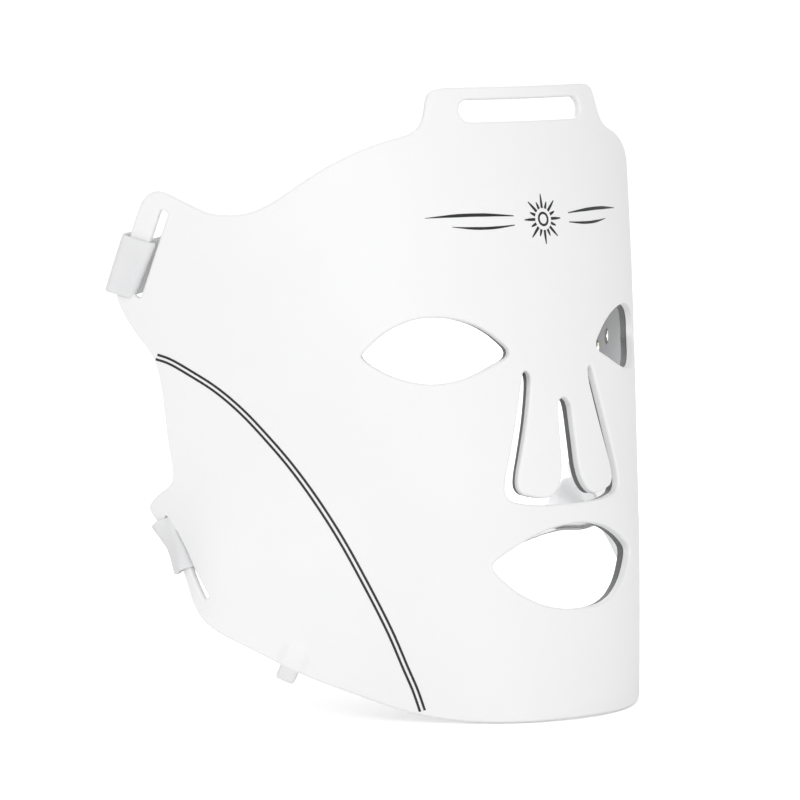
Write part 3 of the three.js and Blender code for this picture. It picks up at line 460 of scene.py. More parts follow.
def build_sheet(name, loops, outer, inner, side, mat, grid=GRID, bump=None, extra=None):
    """A closed sheet between depths outer and inner.

    loops are lists of Chains, the outline first. bump(across, height) raises the outer face.
    """
    points, tris, chains = fill_outline(name, loops, grid, extra)
    count = len(points)
    flat = [points, points]
    depth = [np.full(count, outer), np.full(count, inner)]
    sideways = [np.zeros((2 * count, 2))]            # in-sheet part of the normal
    outward = [np.ones(count), -np.ones(count)]
    faces = [tuple(t) for t in tris]
    faces += [(t[0] + count, t[2] + count, t[1] + count) for t in tris]
    flat_faces = []
    total = 2 * count
    for chain, ids in chains:
        if chain.profile is None:
            continue
        columns = [ids]
        for inset, stop_depth, away, out in chain.profile[1:-1]:
            line = chain.inset(inset)
            flat.append(line)
            depth.append(stop_depth(line) if callable(stop_depth)
                         else np.full(len(line), float(stop_depth)))
            sideways.append(-chain.inward * away)
            outward.append(np.full(len(line), float(out)))
            columns.append(np.arange(total, total + len(line)))
            total += len(line)
        columns = [column.tolist() for column in columns + [ids + count]]
        for i in range(chain.count if chain.closed else chain.count - 1):
            j = (i + 1) % chain.count
            faces += [(a[i], b[i], b[j], a[j]) for a, b in zip(columns, columns[1:])]
        if not chain.closed:
            flat_faces.append(tuple(column[0] for column in reversed(columns)))
            flat_faces.append(tuple(column[-1] for column in columns))
    flat_faces += seam_walls(loops, count)

    across, height = np.concatenate(flat).T
    depth, outward = np.concatenate(depth), np.concatenate(outward)
    sideways = np.vstack(sideways)
    tan_side, tan_up, normal = tangents(across, height)
    normals = unit(sideways[:, :1] * tan_side + sideways[:, 1:] * tan_up
                   + outward[:, None] * normal)
    if bump is not None:
        fade = np.clip(1 - depth / inner, 0, 1)
        depth = depth - bump(across, height) * fade
        gap = 0.05
        slope_side = (bump(across + gap, height) - bump(across - gap, height)) / (2 * gap)
        slope_up = (bump(across, height + gap) - bump(across, height - gap)) / (2 * gap)
        slope = tan_side * slope_side[:, None] + tan_up * slope_up[:, None]
        normals = unit(normals - slope * (fade * (outward > 0))[:, None])
    verts = sheet_point(across, height, depth)
    loop_normals = [[normals[i] for i in face] for face in faces]
    for face in flat_faces:
        way = np.cross(verts[face[1]] - verts[face[0]], verts[face[2]] - verts[face[0]])
        if np.linalg.norm(way) < 1e-14:
            way = np.cross(verts[face[2]] - verts[face[0]], verts[face[-1]] - verts[face[0]])
        way = way / max(np.linalg.norm(way), 1e-20)
        loop_normals.append([way] * len(face))
    return make_mesh(name, verts, faces + flat_faces, mat, side, loop_normals)


# ------------------------------------------------------------- materials
class Nodes:
    """Short ways to add nodes to a shader tree."""

    def __init__(self, tree):
        self.tree = tree

    def link(self, output, socket):
        self.tree.links.new(output, socket)

    def add(self, kind, **values):
        """A node with its properties, or else its inputs, set by name."""
        made = self.tree.nodes.new(kind)
        for key, value in values.items():
            if hasattr(made, key):
                setattr(made, key, value)
            else:
                made.inputs[key].default_value = value
        return made

    def math(self, operation, *terms):
        """Each term is a number or an output socket."""
        made = self.add("ShaderNodeMath", operation=operation)
        for socket, term in zip(made.inputs, terms):
            if isinstance(term, (int, float)):
                socket.default_value = term
            else:
                self.link(term, socket)
        return made.outputs[0]


class Surface(Nodes):
    """A new material with one Principled shader."""

    def __init__(self, name, color, rough, spec, metal=0.0):
        self.material = bpy.data.materials.new(name)
        self.material.use_nodes = True
        super().__init__(self.material.node_tree)
        self.shader = self.tree.nodes["Principled BSDF"]
        self.normal = None
        self.set("Base Color", (*color, 1))
        self.set("Roughness", rough)
        self.set("Specular IOR Level", spec)
        self.set("Metallic", metal)

    def set(self, socket, value):
        self.shader.inputs[socket].default_value = value

    def coordinates(self):
        found = self.tree.nodes.get("TC") or self.add("ShaderNodeTexCoord", name="TC")
        return found.outputs["Object"]

    def noise(self, scale, detail):
        made = self.add("ShaderNodeTexNoise", Scale=scale, Detail=detail)
        self.link(self.coordinates(), made.inputs["Vector"])
        return made.outputs["Fac"]

    def ramp(self, source, low, high, start=0.3, end=0.7, into=None):
        """Ramp between two colours or greys, linked to a socket or to a named shader input."""
        made = self.add("ShaderNodeValToRGB")
        first, last = made.color_ramp.elements
        first.position, last.position = start, end
        for stop, value in ((first, low), (last, high)):
            stop.color = (*value, 1) if isinstance(value, tuple) else (value, value, value, 1)
        self.link(source, made.inputs["Fac"])
        self.link(made.outputs["Color"], self.shader.inputs[into] if isinstance(into, str) else into)

    def bump(self, height, strength, distance):
        """Bump over any that came before. distance is in metres."""
        made = self.add("ShaderNodeBump", Strength=strength, Distance=distance)
        self.link(height, made.inputs["Height"])
        if self.normal is not None:
            self.link(self.normal, made.inputs["Normal"])
        self.normal = made.outputs["Normal"]
        self.link(self.normal, self.shader.inputs["Normal"])


def mat_silicone():
    surf = Surface("white silicone", color=(0.84, 0.842, 0.84), rough=0.5, spec=0.35)
    broad = surf.noise(scale=22, detail=2)
    fine = surf.noise(scale=2600, detail=2)
    medium = surf.noise(scale=260, detail=3)
    surf.ramp(broad, low=(0.838, 0.839, 0.837), high=(0.852, 0.854, 0.854), into="Base Color")
    surf.ramp(medium, low=0.47, high=0.56, into="Roughness")
    surf.set("Sheen Weight", 0.06)
    surf.set("Sheen Roughness", 0.4)
    surf.bump(medium, strength=0.06, distance=0.0002)
    surf.bump(fine, strength=0.10, distance=0.00004)
    return surf.material


def mat_port_shaded_silicone():
    # The same white silicone as the skin, made darker: painted shade standing in for the soft
    # shading on the port stub.
    surf = Surface("port silicone with painted shade", color=(0.76, 0.762, 0.765), rough=0.42, spec=0.4)
    grain = surf.noise(scale=240, detail=3)
    surf.ramp(grain, low=(0.75, 0.752, 0.755), high=(0.775, 0.777, 0.78), into="Base Color")
    surf.ramp(grain, low=0.38, high=0.48, into="Roughness")
    surf.bump(grain, strength=0.08, distance=0.00005)
    return surf.material


def mat_liner():
    surf = Surface("grey liner silicone", color=(0.15, 0.152, 0.156), rough=0.55, spec=0.4)
    broad = surf.noise(scale=30, detail=3)
    fine = surf.noise(scale=1900, detail=2)
    surf.ramp(broad, low=(0.165, 0.167, 0.17), high=(0.195, 0.197, 0.2), into="Base Color")
    surf.ramp(broad, low=0.5, high=0.62, into="Roughness")
    surf.bump(fine, strength=0.18, distance=0.00005)
    return surf.material


def mat_film():
    surf = Surface("flex circuit film", color=(0.48, 0.24, 0.06), rough=0.32, spec=0.5)
    place = surf.coordinates()
    wave = surf.add("ShaderNodeTexWave", wave_type="BANDS", bands_direction="X",
                    Scale=190, Distortion=1.5)
    surf.link(place, wave.inputs["Vector"])
    tracks = wave.outputs["Fac"]
    surf.ramp(tracks, low=(0.46, 0.23, 0.055), high=(0.62, 0.31, 0.11), start=0.55, end=0.62,
              into="Base Color")
    surf.bump(tracks, strength=0.3, distance=0.00004)
    return surf.material


def mat_led():
    surf = Surface("LED package", color=(0.84, 0.80, 0.62), rough=0.25, spec=0.5)
    grain = surf.noise(scale=700, detail=2)
    surf.ramp(grain, low=(0.80, 0.76, 0.56), high=(0.88, 0.85, 0.70), start=0.35, end=0.65,
              into="Base Color")
    surf.bump(grain, strength=0.2, distance=0.00005)
    return surf.material


def mat_lens():
    surf = Surface("clear LED lens", color=(0.95, 0.93, 0.86), rough=0.08, spec=0.6)
    surf.ramp(surf.noise(scale=900, detail=1), low=0.06, high=0.14, into="Roughness")
    surf.set("Coat Weight", 0.5)
    return surf.material


def mat_ink():
    surf = Surface("black ink", color=(0.012, 0.012, 0.013), rough=0.42, spec=0.4)
    grain = surf.noise(scale=1500, detail=2)
    surf.ramp(grain, low=(0.010, 0.010, 0.011), high=(0.02, 0.02, 0.021), into="Base Color")
    surf.bump(grain, strength=0.1, distance=0.00003)
    return surf.material


def mat_strap():
    """Woven elastic: ribs along the band, a knit across them, soft fuzz.

    UV is in millimetres (along, across).
    """
    surf = Surface("woven elastic", color=(0.82, 0.825, 0.83), rough=0.85, spec=0.2)
    uv_map = surf.add("ShaderNodeUVMap")
    parts = surf.add("ShaderNodeSeparateXYZ")
    surf.link(uv_map.outputs["UV"], parts.inputs["Vector"])

    def sine(source, period, phase=0.0):
        turns = surf.math("MULTIPLY", source, 2 * math.pi / period)
        return surf.math("SINE", surf.math("ADD", turns, phase))

    rib = sine(parts.outputs["Y"], period=0.95)
    knit = sine(parts.outputs["X"], period=0.62)
    knit_share, weave_gain, weave_middle = 0.6, 0.3, 0.5     # bring the weave to about 0..1
    both = surf.math("MULTIPLY", rib, knit)
    weave = surf.math("MULTIPLY_ADD", both, knit_share, rib)
    weave = surf.math("MULTIPLY_ADD", weave, weave_gain, weave_middle)
    fuzz = surf.noise(scale=3000, detail=3)
    tint = surf.noise(scale=60, detail=3)
    base = surf.add("ShaderNodeMix", data_type="RGBA", blend_type="MULTIPLY", Factor=1.0)
    surf.ramp(weave, low=(0.885, 0.887, 0.895), high=(0.905, 0.907, 0.915), start=0.0, end=1.0,
              into=base.inputs["A"])
    surf.ramp(tint, low=0.95, high=1.0, into=base.inputs["B"])
    color = base.outputs["Result"]
    surf.link(color, surf.shader.inputs["Base Color"])
    surf.set("Sheen Weight", 0.25)
    surf.bump(weave, strength=0.28, distance=0.00006)
    surf.bump(fuzz, strength=0.35, distance=0.00006)
    thin = surf.add("ShaderNodeBsdfTranslucent")
    surf.link(color, thin.inputs["Color"])
    mix = surf.add("ShaderNodeMixShader")
    mix.inputs[0].default_value = 0.2        # share of light let through
    surf.link(surf.shader.outputs[0], mix.inputs[1])
    surf.link(thin.outputs[0], mix.inputs[2])
    surf.link(mix.outputs[0], surf.tree.nodes["Material Output"].inputs["Surface"])
    return surf.material


def mat_pile():
    surf = Surface("hook and loop pile", color=(0.76, 0.76, 0.76), rough=0.95, spec=0.1)
    tufts = surf.noise(scale=1400, detail=4)
    surf.ramp(tufts, low=0.6, high=0.84, into="Base Color")
    surf.set("Sheen Weight", 0.4)
    surf.bump(tufts, strength=1.0, distance=0.0003)
    return surf.material


def mat_thread():
    surf = Surface("sewing thread", color=(0.8, 0.8, 0.8), rough=0.7, spec=0.2)
    fibres = surf.noise(scale=5000, detail=2)
    surf.ramp(fibres, low=0.72, high=0.86, into="Base Color")
    surf.bump(fibres, strength=0.4, distance=0.00005)
    return surf.material


def mat_metal():
    surf = Surface("plated contact", color=(0.72, 0.73, 0.75), rough=0.22, spec=0.5, metal=1.0)
    grain = surf.noise(scale=1200, detail=3)
    surf.ramp(grain, low=0.18, high=0.34, into="Roughness")
    surf.bump(grain, strength=0.08, distance=0.00002)
    return surf.material


FINISH = dict(silicone=mat_silicone(), liner=mat_liner(), film=mat_film(), led=mat_led(),
              lens=mat_lens(), ink=mat_ink(), strap=mat_strap(), pile=mat_pile(),
              thread=mat_thread(), metal=mat_metal(), port=mat_port_shaded_silicone())

# ---------------------------------------------------------- edge profiles
# Each stop: inset into the material, depth, then the normal's parts away from the edge and
# outwards. The skin's rim is thicker wherever the liner lies behind it.
RIM_DEPTH = 2.75
RIM_REAR_MARGIN, RIM_TOP, RIM_FADE = 2.5, 194.5, 4.0
RIM_CORNER = (118, 165)        # no thickening beyond this corner of the pattern


def rim_depth(points):
    rear = np.array(LINER_REAR, float)
    across, height = points[:, 0], points[:, 1]
    liner_edge = np.interp(height, rear[:, 1], rear[:, 0])
    share = np.minimum(ease((liner_edge + RIM_REAR_MARGIN - across) / RIM_FADE),
                       ease((RIM_TOP - height) / RIM_FADE))
    share = np.where((height > RIM_CORNER[1]) & (across > RIM_CORNER[0]), 0, share)
    return SHELL_T + (RIM_DEPTH - SHELL_T) * share


ROUND_R = 0.95                 # rounding of the skin's outer edge
SKIN = [(1.8, 0.0, 0, 1), (ROUND_R, 0.0, 0, 1)]
SKIN += [(ROUND_R - ROUND_R * math.sin(turn), ROUND_R - ROUND_R * math.cos(turn),
          math.sin(turn), math.cos(turn))
         for turn in (math.pi / 8, math.pi / 4, 3 * math.pi / 8)]
SKIN += [(0.0, ROUND_R, 1, 0), (0.0, lambda points: rim_depth(points) - 0.35, 1, 0),
         (0.1, lambda points: rim_depth(points) - 0.1, 0.7, -0.7),
         (0.35, rim_depth, 0, -1), (1.45, rim_depth, 0, -1), (1.8, SHELL_T, 0, -1)]
LINER_OUTER, LINER_INNER = 3.35, 4.5
LINER = [(1.0, LINER_OUTER, 0, 1), (0.45, 2.84, 0, 1), (0.18, 2.98, 1, 0), (0.18, 4.4, 1, 0),
         (0.28, 4.68, 0.7, -0.7), (0.52, 4.78, 0, -1), (0.82, 4.62, -0.3, -1),
         (1.0, LINER_INNER, 0, -1)]
WINDOW = [(0.5, LINER_OUTER, 0, 1), (0.0, 3.36, 1, 0), (0.0, 4.1, 1, 0), (0.1, 4.38, 0.7, -0.7),
          (0.3, LINER_INNER, 0, -1), (0.5, LINER_INNER, 0, -1)]

# ---------------------------------------------------------- shared outlines
CENTRE_ENDS = (((0, 1), 1), ((0, -1), 1))      # a chain that ends on the centre line, top first
ROOT_SCALE = 0.55              # the profile is smaller at the roots of the nose flaps
NOSE_SUB = 12
nose_line = spline(NOSE, sub=NOSE_SUB)
cut_a, cut_b = ROOT_A * NOSE_SUB, ROOT_B * NOSE_SUB
root_a, root_b = np.array(NOSE[ROOT_A], float), np.array(NOSE[ROOT_B], float)
root_way = unit(root_b - root_a)
nose_upper = resample(nose_line[:cut_a + 1], STEP * 0.6)
nose_flap = resample(nose_line[cut_a:cut_b + 1], STEP)
nose_lower = resample(nose_line[cut_b:], STEP)
eye_loop = resample(spline(EYE, True), STEP, True)
mouth_half = half(spline(MOUTH), STEP)


def seam(start, end, step=4.0):
    """A plain chain strictly between two rim ends."""
    start, end = np.array(start), np.array(end)
    count = max(2, int(round(np.linalg.norm(end - start) / step)))
    return Chain([tuple(start + (end - start) * i / count) for i in range(1, count)])


def centre_seam(loop, height):
    """Runs a seam down the centre line from the last chain's end to a height."""
    above = loop[-1]
    loop.append(seam((0, above.points[-1][1] - above.profile[0][0]), (0, height)))


def add_opening(loop, points, profile, ends=CENTRE_ENDS):
    """Runs down the centre line to an opening, then follows its edge."""
    centre_seam(loop, points[0][1] + profile[0][0])
    loop.append(Chain(points, profile, ends=ends))


def half_loop(edge, profile, top_slot=None, window=None):
    """Outline of one half, counter-clockwise, closed down the centre line."""
    inset = profile[0][0]
    root_inset = root_way * inset * ROOT_SCALE
    loop = [Chain(edge, profile, ends=CENTRE_ENDS)]
    if top_slot is not None:
        add_opening(loop, top_slot, profile)
    add_opening(loop, nose_upper, profile, ends=(CENTRE_ENDS[0], (root_way, ROOT_SCALE)))
    loop.append(seam(root_a + root_inset, root_b - root_inset))
    loop.append(Chain(nose_lower, profile, ends=((-root_way, ROOT_SCALE), CENTRE_ENDS[1])))
    add_opening(loop, mouth_half, profile)
    if window is not None:
        add_opening(loop, window, WINDOW)
    centre_seam(loop, edge[0][1] + inset)
    return loop


def round_window(spot, radius):
    angle = np.linspace(0, 2 * math.pi, 25)[:-1][::-1]
    circle = np.stack([spot[0] + radius * np.cos(angle), spot[1] + radius * np.sin(angle)], 1)
    return [Chain(circle, WINDOW, True)]


def port_bump(across, height):
    """Raised ridge that carries the cable port inwards from the edge."""
    from_x, from_y = across - PORT_CENTRE[0], height - PORT_CENTRE[1]
    x = from_x * PORT_ALONG[0] + from_y * PORT_ALONG[1]
    y = from_x * PORT_OUT[0] + from_y * PORT_OUT[1]
    ridge_height, half_base, flank = 1.3, 5.6, 3.4
    tip, tip_run = 10.5, 6.5         # where the ridge's inner end starts, and its rise
    taper = ease((y + tip) / tip_run)
    return ridge_height * ease((half_base - np.abs(x) * (1.25 - 0.25 * taper)) / flank) * taper


def joint_blend(obj, side, joint, way_from, way_to):
    """Works out a way square to the joint's axis, then only bakes obj's transform; obj is not bent.

    The way is between two pattern points on the +X half, squared to the axis.
    """
    axis = unit(np.array(JOINTS[joint]["axis"], float))
    way = (sheet_point(*way_to, 1.0) - sheet_point(*way_from, 1.0)) * np.array([side, 1, 1])
    way = square_to(way, axis)
    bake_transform(obj)


def wing_blend(obj, side, tag):
    joint_blend(obj, side, "wing_%s_flex" % tag,
                way_from=(78, 90), way_to=(104, 90))


def flap_blend(obj, side, tag):
    joint_blend(obj, side, "nose_flap_%s_bend" % tag,
                way_from=(7.5, 108), way_to=(12.5, 95))


# ------------------------------------------------- skins, liners and flaps
def build_skin(side, tag):
    edge = half(spline(BOTTOM + REAR + TOP), STEP)
    end = half_round(count=13, **TOP_SLOT)
    top_slot = resample(np.vstack([[(0, end[0][1])], end, [(0, end[-1][1])]]), STEP)
    loops = [half_loop(edge, SKIN, top_slot=top_slot)]
    loops += [[Chain(clockwise(hole), SKIN, True)]
              for hole in (eye_loop, slot_outline(**UPPER_SLOT), slot_outline(**LOWER_SLOT))]
    port = {}
    if side < 0:
        x, y = np.meshgrid(np.arange(-8, 8.1, 1.1), np.arange(-13, 4.1, 1.1))
        dense = PORT_CENTRE + x.ravel()[:, None] * PORT_ALONG + y.ravel()[:, None] * PORT_OUT
        port = dict(bump=port_bump, extra=(dense, 1.6))
    skin = build_sheet("mask_skin_" + tag, loops, 0.0, SHELL_T, side, FINISH["silicone"], **port)
    wing_blend(skin, side, tag)
    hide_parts("outer_shell_front", "outer_shell_wing_" + tag)


def build_liner(side, tag):
    edge = half(spline(LINER_BOTTOM + LINER_REAR + LINER_TOP), STEP * 1.3)
    chin_window = half_round(*CHIN_SPOTS[0], CHIN_WINDOW_R, count=12)
    loops = [half_loop(edge, LINER, window=chin_window),
             [Chain(clockwise(resample(eye_loop, STEP * 1.2, True)), LINER, True)]]
    centres = [spot for row in ROWS_FRONT + ROWS_WING for spot in spots(row)] + CHIN_SPOTS[1:]
    loops += [round_window(spot, WINDOW_R) for spot in centres]
    liner = build_sheet("inner_liner_" + tag, loops, LINER_OUTER, LINER_INNER, side,
                        FINISH["liner"], grid=GRID * 1.3)
    wing_blend(liner, side, tag)
    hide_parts("inner_liner_front", "inner_liner_wing_" + tag)


def build_flap(name, profile, outer, inner, side, tag, mat, windows=()):
    root_inset = root_way * profile[0][0] * ROOT_SCALE
    loop = [Chain(nose_flap, profile, ends=((root_way, ROOT_SCALE), (-root_way, ROOT_SCALE))),
            seam(root_b - root_inset, root_a + root_inset)]
    flap = build_sheet(name, [loop, *windows], outer, inner, side, mat, grid=2.4)
    flap_blend(flap, side, tag)
    return flap


for side, tag in SIDES:
    build_skin(side, tag)
    build_liner(side, tag)
    flap = build_flap("flap_skin_" + tag, SKIN, 0.0, SHELL_T, side, tag, FINISH["silicone"])
    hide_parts("nose_flap_" + tag)
    flap = build_flap("flap_liner_" + tag, LINER, LINER_OUTER, LINER_INNER, side, tag,
                      FINISH["liner"],
                      windows=[round_window(spot, FLAP_WINDOW_R) for spot in spots(ROW_FLAP)])
    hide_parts("nose_flap_liner_" + tag)


# ---------------------------------------------------------- simple solids
def fix_normals(obj):
    work = bmesh.new()
    work.from_mesh(obj.data)
    bmesh.ops.recalc_face_normals(work, faces=work.faces)
    work.to_mesh(obj.data)
    work.free()


def solid(name, parts, mat, side=1, smooth=True):
    """One object from (vertices in metres, faces) parts."""
    verts, faces, base = [], [], 0
    for part_verts, part_faces in parts:
        verts.append(part_verts)
        faces += [tuple(i + base for i in face) for face in part_faces]
        base += len(part_verts)
    obj = make_mesh(name, np.concatenate(verts), faces, mat, side)
    fix_normals(obj)
    if not smooth:
        obj.data.polygons.foreach_set("use_smooth", [False] * len(obj.data.polygons))
    return obj


def swept_faces(rows, sides):
    """Faces of a capped tube whose vertices run round each row in turn."""
    faces = []
    for i in range(rows - 1):
        for k in range(sides):
            a, b = i * sides + k, i * sides + (k + 1) % sides
            faces.append((a, b, b + sides, a + sides))
    faces.append(tuple(range(sides - 1, -1, -1)))
    faces.append(tuple((rows - 1) * sides + k for k in range(sides)))
    return faces


# ----------------------------------------------------------- ink ribbons
def ribbon(path, widths, top=-0.035, bottom=0.05, step=1.4):
    """A thin printed line on the outer face. widths are spread evenly along it."""
    points = resample(np.asarray(path, float), step)
    count = len(points)
    sideways = left(points)
    half_width = np.interp(np.linspace(0, 1, count), np.linspace(0, 1, len(widths)), widths) / 2
    rows = []
    for offset, depth in ((half_width, bottom), (half_width, top),
                          (-half_width, top), (-half_width, bottom)):
        line = points + sideways * offset[:, None]
        rows.append(sheet_point(line[:, 0], line[:, 1], depth))
    faces = []
    for i in range(count - 1):
        for k in range(4):
            a, b = k * count + i, ((k + 1) % 4) * count + i
            faces.append((a, b, b + 1, a + 1))
    faces.append((0, 3 * count, 2 * count, count))
    faces.append((count - 1, 2 * count - 1, 3 * count - 1, 4 * count - 1))
    return np.concatenate(rows), faces


# Cheek line, from the rear edge down to the bottom edge: (across, height).
STRIPE = [
    (141.4, 117.4), (137.1, 116.2), (129.6, 112.3), (121.4, 107.3), (113.4, 100.6), (105.6, 92.3),
    (97.9, 83.1), (90.4, 72.4), (83.1, 60), (76, 45.5), (68.9, 29.5), (64.7, 18.1), (61.9, 10.7),
    (59.9, 3.9)]
STRIPE_GAP, STRIPE_REAR_END, STRIPE_EDGE_GAP = 1.65, 140.6, 1.3
STRIPE_INK = dict(widths=(0.8,), top=-0.1, bottom=0.08)

stripe = spline(STRIPE)
second = stripe + left(stripe) * -STRIPE_GAP
second = second[second[:, 0] < STRIPE_REAR_END]
bottom_edge = np.array(BOTTOM[1:])
floor_height = np.interp(second[:, 0], bottom_edge[:, 0], bottom_edge[:, 1])
second = second[second[:, 1] > floor_height + STRIPE_EDGE_GAP]
for side, tag in SIDES:
    lines = [ribbon(stripe, **STRIPE_INK), ribbon(second, **STRIPE_INK)]
    stripes = solid("cheek_pinstripes_" + tag, lines, FINISH["ink"], side, smooth=False)
    wing_blend(stripes, side, tag)

# Forehead ornament: a burst round a ring, between two pairs of tapered lines.
BURST_HEIGHT, BURST_RAYS = 163.0, 16
RAY_START, RAY_LONG, RAY_SHORT, BURST_RING_R = 3.6, 8.2, 6.0, 2.0
LINE_START, LINE_BOW = 12.5, 0.7
LINES = ((1.5, 45, 1.1), (-1.5, 36, 0.9))      # height from the burst's centre, end, width
parts = []
for k in range(BURST_RAYS):
    angle = 2 * math.pi * k / BURST_RAYS
    ray = [(r * math.cos(angle), BURST_HEIGHT + r * math.sin(angle))
           for r in (RAY_START, RAY_LONG if k % 2 == 0 else RAY_SHORT)]
    parts.append(ribbon(ray, (1.0, 0.9, 0.35), step=0.9))
angle = np.linspace(0, 2 * math.pi, 41)
parts.append(ribbon(np.stack([BURST_RING_R * np.cos(angle),
                              BURST_HEIGHT + BURST_RING_R * np.sin(angle)], 1), (0.8,), step=0.5))
for side in (1, -1):
    for rise, end, width in LINES:
        across = np.linspace(LINE_START, end, 30)
        bow = LINE_BOW * np.sin((across - LINE_START) / (end - LINE_START) * math.pi)
        height = BURST_HEIGHT + rise + bow * math.copysign(1, rise)
        parts.append(ribbon(np.stack([side * across, height], 1), (0.3, width, width, 0.15)))
burst = solid("forehead_burst_print", parts, FINISH["ink"], smooth=False)
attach(burst, "front")

# ------------------------------------------------------------- LED lenses
LENS_DEPTH, LENS_R, LENS_H = 3.82, 1.05, 0.6


def lens(across, height, segments=12, rings=4):
    """A dome whose flat base is at LENS_DEPTH and whose top points inwards."""
    tan_side, tan_up, normal = tangents(across, height)
    centre = face_point(across, height) - normal * LENS_DEPTH
    verts, faces = [centre], []
    for k in range(rings):
        rise = math.pi / 2 * k / rings
        for i in range(segments):
            angle = 2 * math.pi * i / segments
            spoke = math.cos(angle) * tan_side + math.sin(angle) * tan_up
            verts.append(centre + LENS_R * math.cos(rise) * spoke
                         - normal * LENS_H * math.sin(rise))
    verts.append(centre - normal * LENS_H)
    last = 1 + (rings - 1) * segments
    for i in range(segments):
        j = (i + 1) % segments
        faces.append((0, 1 + j, 1 + i))
        for k in range(rings - 1):
            a, b = 1 + k * segments, 1 + (k + 1) * segments
            faces.append((a + i, a + j, b + j, b + i))
        faces.append((last + i, last + j, len(verts) - 1))
    return to_frame(np.array(verts)), faces


def on_both_sides(points):
    return [(side * x, y) for x, y in points for side in (1, -1)]


front_spots = on_both_sides([spot for row in ROWS_FRONT for spot in spots(row)])
lens_sets = [("front", "front", front_spots + CHIN_SPOTS[:1] + on_both_sides(CHIN_SPOTS[1:]))]
for side, tag in SIDES:
    for place, body, rows in (("wing_", "wing_", ROWS_WING), ("flap_", "nose_flap_", [ROW_FLAP])):
        lens_sets.append((place + tag, body + tag,
                          [(side * x, y) for row in rows for x, y in spots(row)]))
for place, body, points in lens_sets:
    lenses = solid("led_lenses_" + place, [lens(x, y) for x, y in points], FINISH["lens"])
    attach(lenses, body)

# ------------------------------------------------------------------ straps
STRAP_T = 1.0
OFFSET = 1.8                   # each tail lies this far off the lapped pair's middle in Y
TIP = 30.0                     # each tail runs this far past the centre line
# cad_slot and cad_half: the CAD slot's centre and half width; bar: width of the bar of skin
# behind it; shift: the strap's place along the slot; reach: how far the loop clears the bar.
# along, skew and drop slide the band along the slot, and tilt turns its width. Shear 1 keeps
# the width direction where the path drifts sideways.
LEVELS = {
    "upper": dict(slot=UPPER_SLOT, cad_slot=(137.9, 151.7), cad_half=2.3, shift=5.0, bar=6.9,
                  reach=2.3, along=1.5, skew=0.2, tilt=0.08, drop=4.0, width=20.4, shear=1.0),
    "lower": dict(slot=LOWER_SLOT, cad_slot=(136.5, 53.2), cad_half=2.15, shift=3.5, bar=4.3,
                  reach=2.2, along=2.2, skew=0.42, tilt=0.2, drop=0.6, width=19.0, shear=0.0)}
# Upper tail's twist to upright: distance in from the bar (share of the way to the centre
# line), share upright.
UPPER_TWIST = ((0.34, 1), (0.28, 0.8), (0.2, 0.5), (0.12, 0.25), (0.06, 0.1))
UPRIGHT, FLAT = np.array([0.0, 0, 1]), np.array([0.0, 1, 0.12])
PATH_STEP = 0.9
LAP_ROWS, LAP_GAP = 23, 1.25   # the turned-back end: its rows, and distance from the tail
STITCH_ROWS, STITCH_PITCH, STITCH_HALF, THREAD_R = (14, 18), 1.85, 0.6, 0.19
PAD_LONG, PAD_WIDE, PAD_T = 56.0, 17.0, 0.9


def station(point, width_way):
    """A row of a strap path: position, then the band's width direction."""
    return np.concatenate([point, unit(np.asarray(width_way, float))])


def nearest(path, point):
    return int(np.argmin(np.linalg.norm(path[:, :3] - point[:3], axis=1)))


def smooth_path(rows, step):
    path = spline(rows, sub=14)
    lengths = arc_lengths(path[:, :3])
    return even_rows(path, lengths, max(3, int(round(lengths[-1] / step))))


